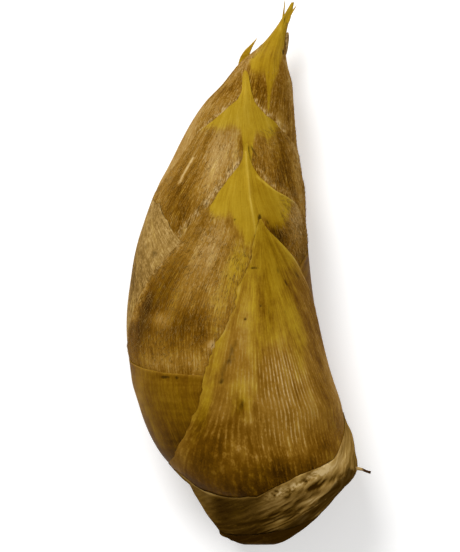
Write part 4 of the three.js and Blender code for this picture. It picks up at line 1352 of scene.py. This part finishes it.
# %% Hairs
def make_hairs(name, host, count, density, length, rise, seed, width=0.055):
    """Spikes on the host's outer grid. Places are drawn by the density times the area of each
    cell; a spike runs along the grid towards the tip, turned a little at random, and rises to
    its point by a share of its length."""
    random = np.random.default_rng(seed)
    grid, spots = GRIDS[host]
    here = grid[:-1, :-1]
    along, across = grid[1:, :-1] - here, grid[:-1, 1:] - here
    normal = np.cross(across, along)
    weight = np.clip(density(Spots(*(a[:-1, :-1] for a in spots))), 0, None)
    weight = weight * np.linalg.norm(normal, axis=-1)
    picked = random.choice(weight.size, count, p=weight.ravel() / weight.sum())
    take = lambda a: a.reshape(-1, 3)[picked]
    unit = lambda a: a / np.maximum(np.linalg.norm(a, axis=-1, keepdims=True), 1e-9)
    root_at = take(here) + take(along) * random.random((count, 1))
    root_at = root_at + take(across) * random.random((count, 1))
    up, ahead = unit(take(normal)), unit(take(along))
    beside = np.cross(ahead, up)
    turn = random.normal(0, 0.28, (count, 1))
    ahead = ahead * np.cos(turn) + beside * np.sin(turn)
    beside = np.cross(ahead, up)
    long = length * random.uniform(0.5, 1.2, (count, 1))
    high = rise * random.uniform(0.2, 1.0, (count, 1)) * long
    wide = width * random.uniform(0.7, 1.3, (count, 1))
    bend = random.normal(0, 0.1, (count, 1)) * long
    middle = root_at + ahead * 0.55 * long + up * 0.75 * high + beside * bend
    rings = []
    for centre, size in ((root_at - up * 0.06, 1.0), (middle, 0.75)):
        for a in np.radians((0, 120, 240)):
            rings.append(centre + size * wide * (np.cos(a) * beside + np.sin(a) * up))
    point = root_at + ahead * long + up * high
    points = np.stack([*rings, point], axis=1).reshape(-1, 3)
    shape = [(0, 2, 1), (3, 4, 6), (4, 5, 6), (5, 3, 6)]
    shape += [(0, 1, 4), (0, 4, 3), (1, 2, 5), (1, 5, 4), (2, 0, 3), (2, 3, 5)]
    faces = (7 * np.arange(count)[:, None, None] + np.array(shape)).reshape(-1, 3)
    piece, _ = new_piece(name, points, [faces])
    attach(piece, "root")
    print(f"{name}: {count} hairs")
    return piece


def hairs_3(at):
    """Some under the yellow fan, more along the left margin and most right of the blade."""
    bare = below_line(at, [(-40, 26), (-16, 22), (-9, 16), (0, 8), (3, 12), (22, 20)], 6)
    fringe = band(at, [(-24, 11), (-30, 5), (-35, -2)], 1.2)
    right = marks(at, [(17.5, 16, 9, 3, -10, 1)])
    return (1 - bare) * smooth((at.s + 40) / 20) * 0.5 + 0.9 * fringe + 2.0 * right


def hairs_5(at):
    """Some under the yellow fan, and many at both margins."""
    bare = below_line(at, [(-25, 60), (-16, 53), (-8, 50), (0, 40), (6, 49), (13, 53)], 4)
    fringe = band(at, [(-3, 39.6), (-6.4, 35.6), (-14, 25.6), (-25, 13.6)], 1.2)
    fringe = fringe + band(at, [(3.6, 39.4), (7, 34), (12, 30.4), (17.3, 27.4)], 0.9)
    return (1 - bare) * 0.6 + 3 * fringe


def hairs_7(at):
    """Few in the middle, more on both sides, and many along three fringes."""
    fringe = band(at, [(-2.6, 65), (-8.6, 58.4), (-17, 51)], 1.2)
    fringe = fringe + band(at, [(3.4, 62), (10, 56), (14, 52)], 1.0)
    fringe = fringe + band(at, [(4.6, 82), (-3, 73)], 1)
    sides = 0.3 + smooth(-at.x / 4) + smooth((at.x - 8) / 4)
    return smooth((76 - at.y) / 6) * sides + 3 * fringe


pale_hair = plain_finish("pale hairs", (126, 91, 30), (166, 130, 66), 260)
finish(make_hairs("front_leaf_2_hairs", "sheath_3", 6500, hairs_3, length=2.0, rise=0.12, seed=61),
       pale_hair)
finish(make_hairs("front_leaf_3_hairs", "sheath_5", 5000, hairs_5, length=2.6, rise=0.12, seed=62),
       pale_hair)
finish(make_hairs("front_leaf_4_hairs", "sheath_7", 2500, hairs_7, length=1.6, rise=0.14, seed=63),
       pale_hair)

# %% [markdown]
# ## Table
# The shoot lies on a plain white table top. A bright world alone could stand for it, but then
# nothing would catch the soft shadow under the shoot. The top glows a little, so that it stays
# white, and as a thing of the stage it isn't part of the model.

# %% Table
floor_mesh = bpy.data.meshes.new("table top")
reach, under = 3, -0.0002  # metres: half its side, and just below the shoot
floor_corners = [(-reach, -reach, under), (reach, -reach, under), (reach, reach, under),
                 (-reach, reach, under)]
floor_mesh.from_pydata(floor_corners, [], [(0, 1, 2, 3)])
floor = bpy.data.objects.new("table top", floor_mesh)
scene.collection.objects.link(floor)
floor_finish = bpy.data.materials.new("white table")
floor_finish.use_nodes = True
table_surface = floor_finish.node_tree.nodes["Principled BSDF"].inputs
table_surface["Base Color"].default_value = (0.92, 0.92, 0.92, 1)
table_surface["Roughness"].default_value = 0.8
table_surface["Emission Color"].default_value = (1, 1, 1, 1)
table_surface["Emission Strength"].default_value = 0.28
finish(floor, floor_finish)
floor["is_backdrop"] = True

# %% [markdown]
# ## Size
# The finished pieces have to stay as large as the solids that they stand for. That could be
# judged by eye, but two boxes of numbers leave no doubt, so both are written down.

# %% Size and the end
bpy.context.view_layer.update()
shown_box = [list(corner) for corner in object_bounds()]
print("box of what shows, mm:", [[round(1000 * v, 1) for v in c] for c in shown_box])
print("triangles:", sum(sum(len(p.vertices) - 2 for p in o.data.polygons)
                        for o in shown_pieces() if o.type == "MESH"))
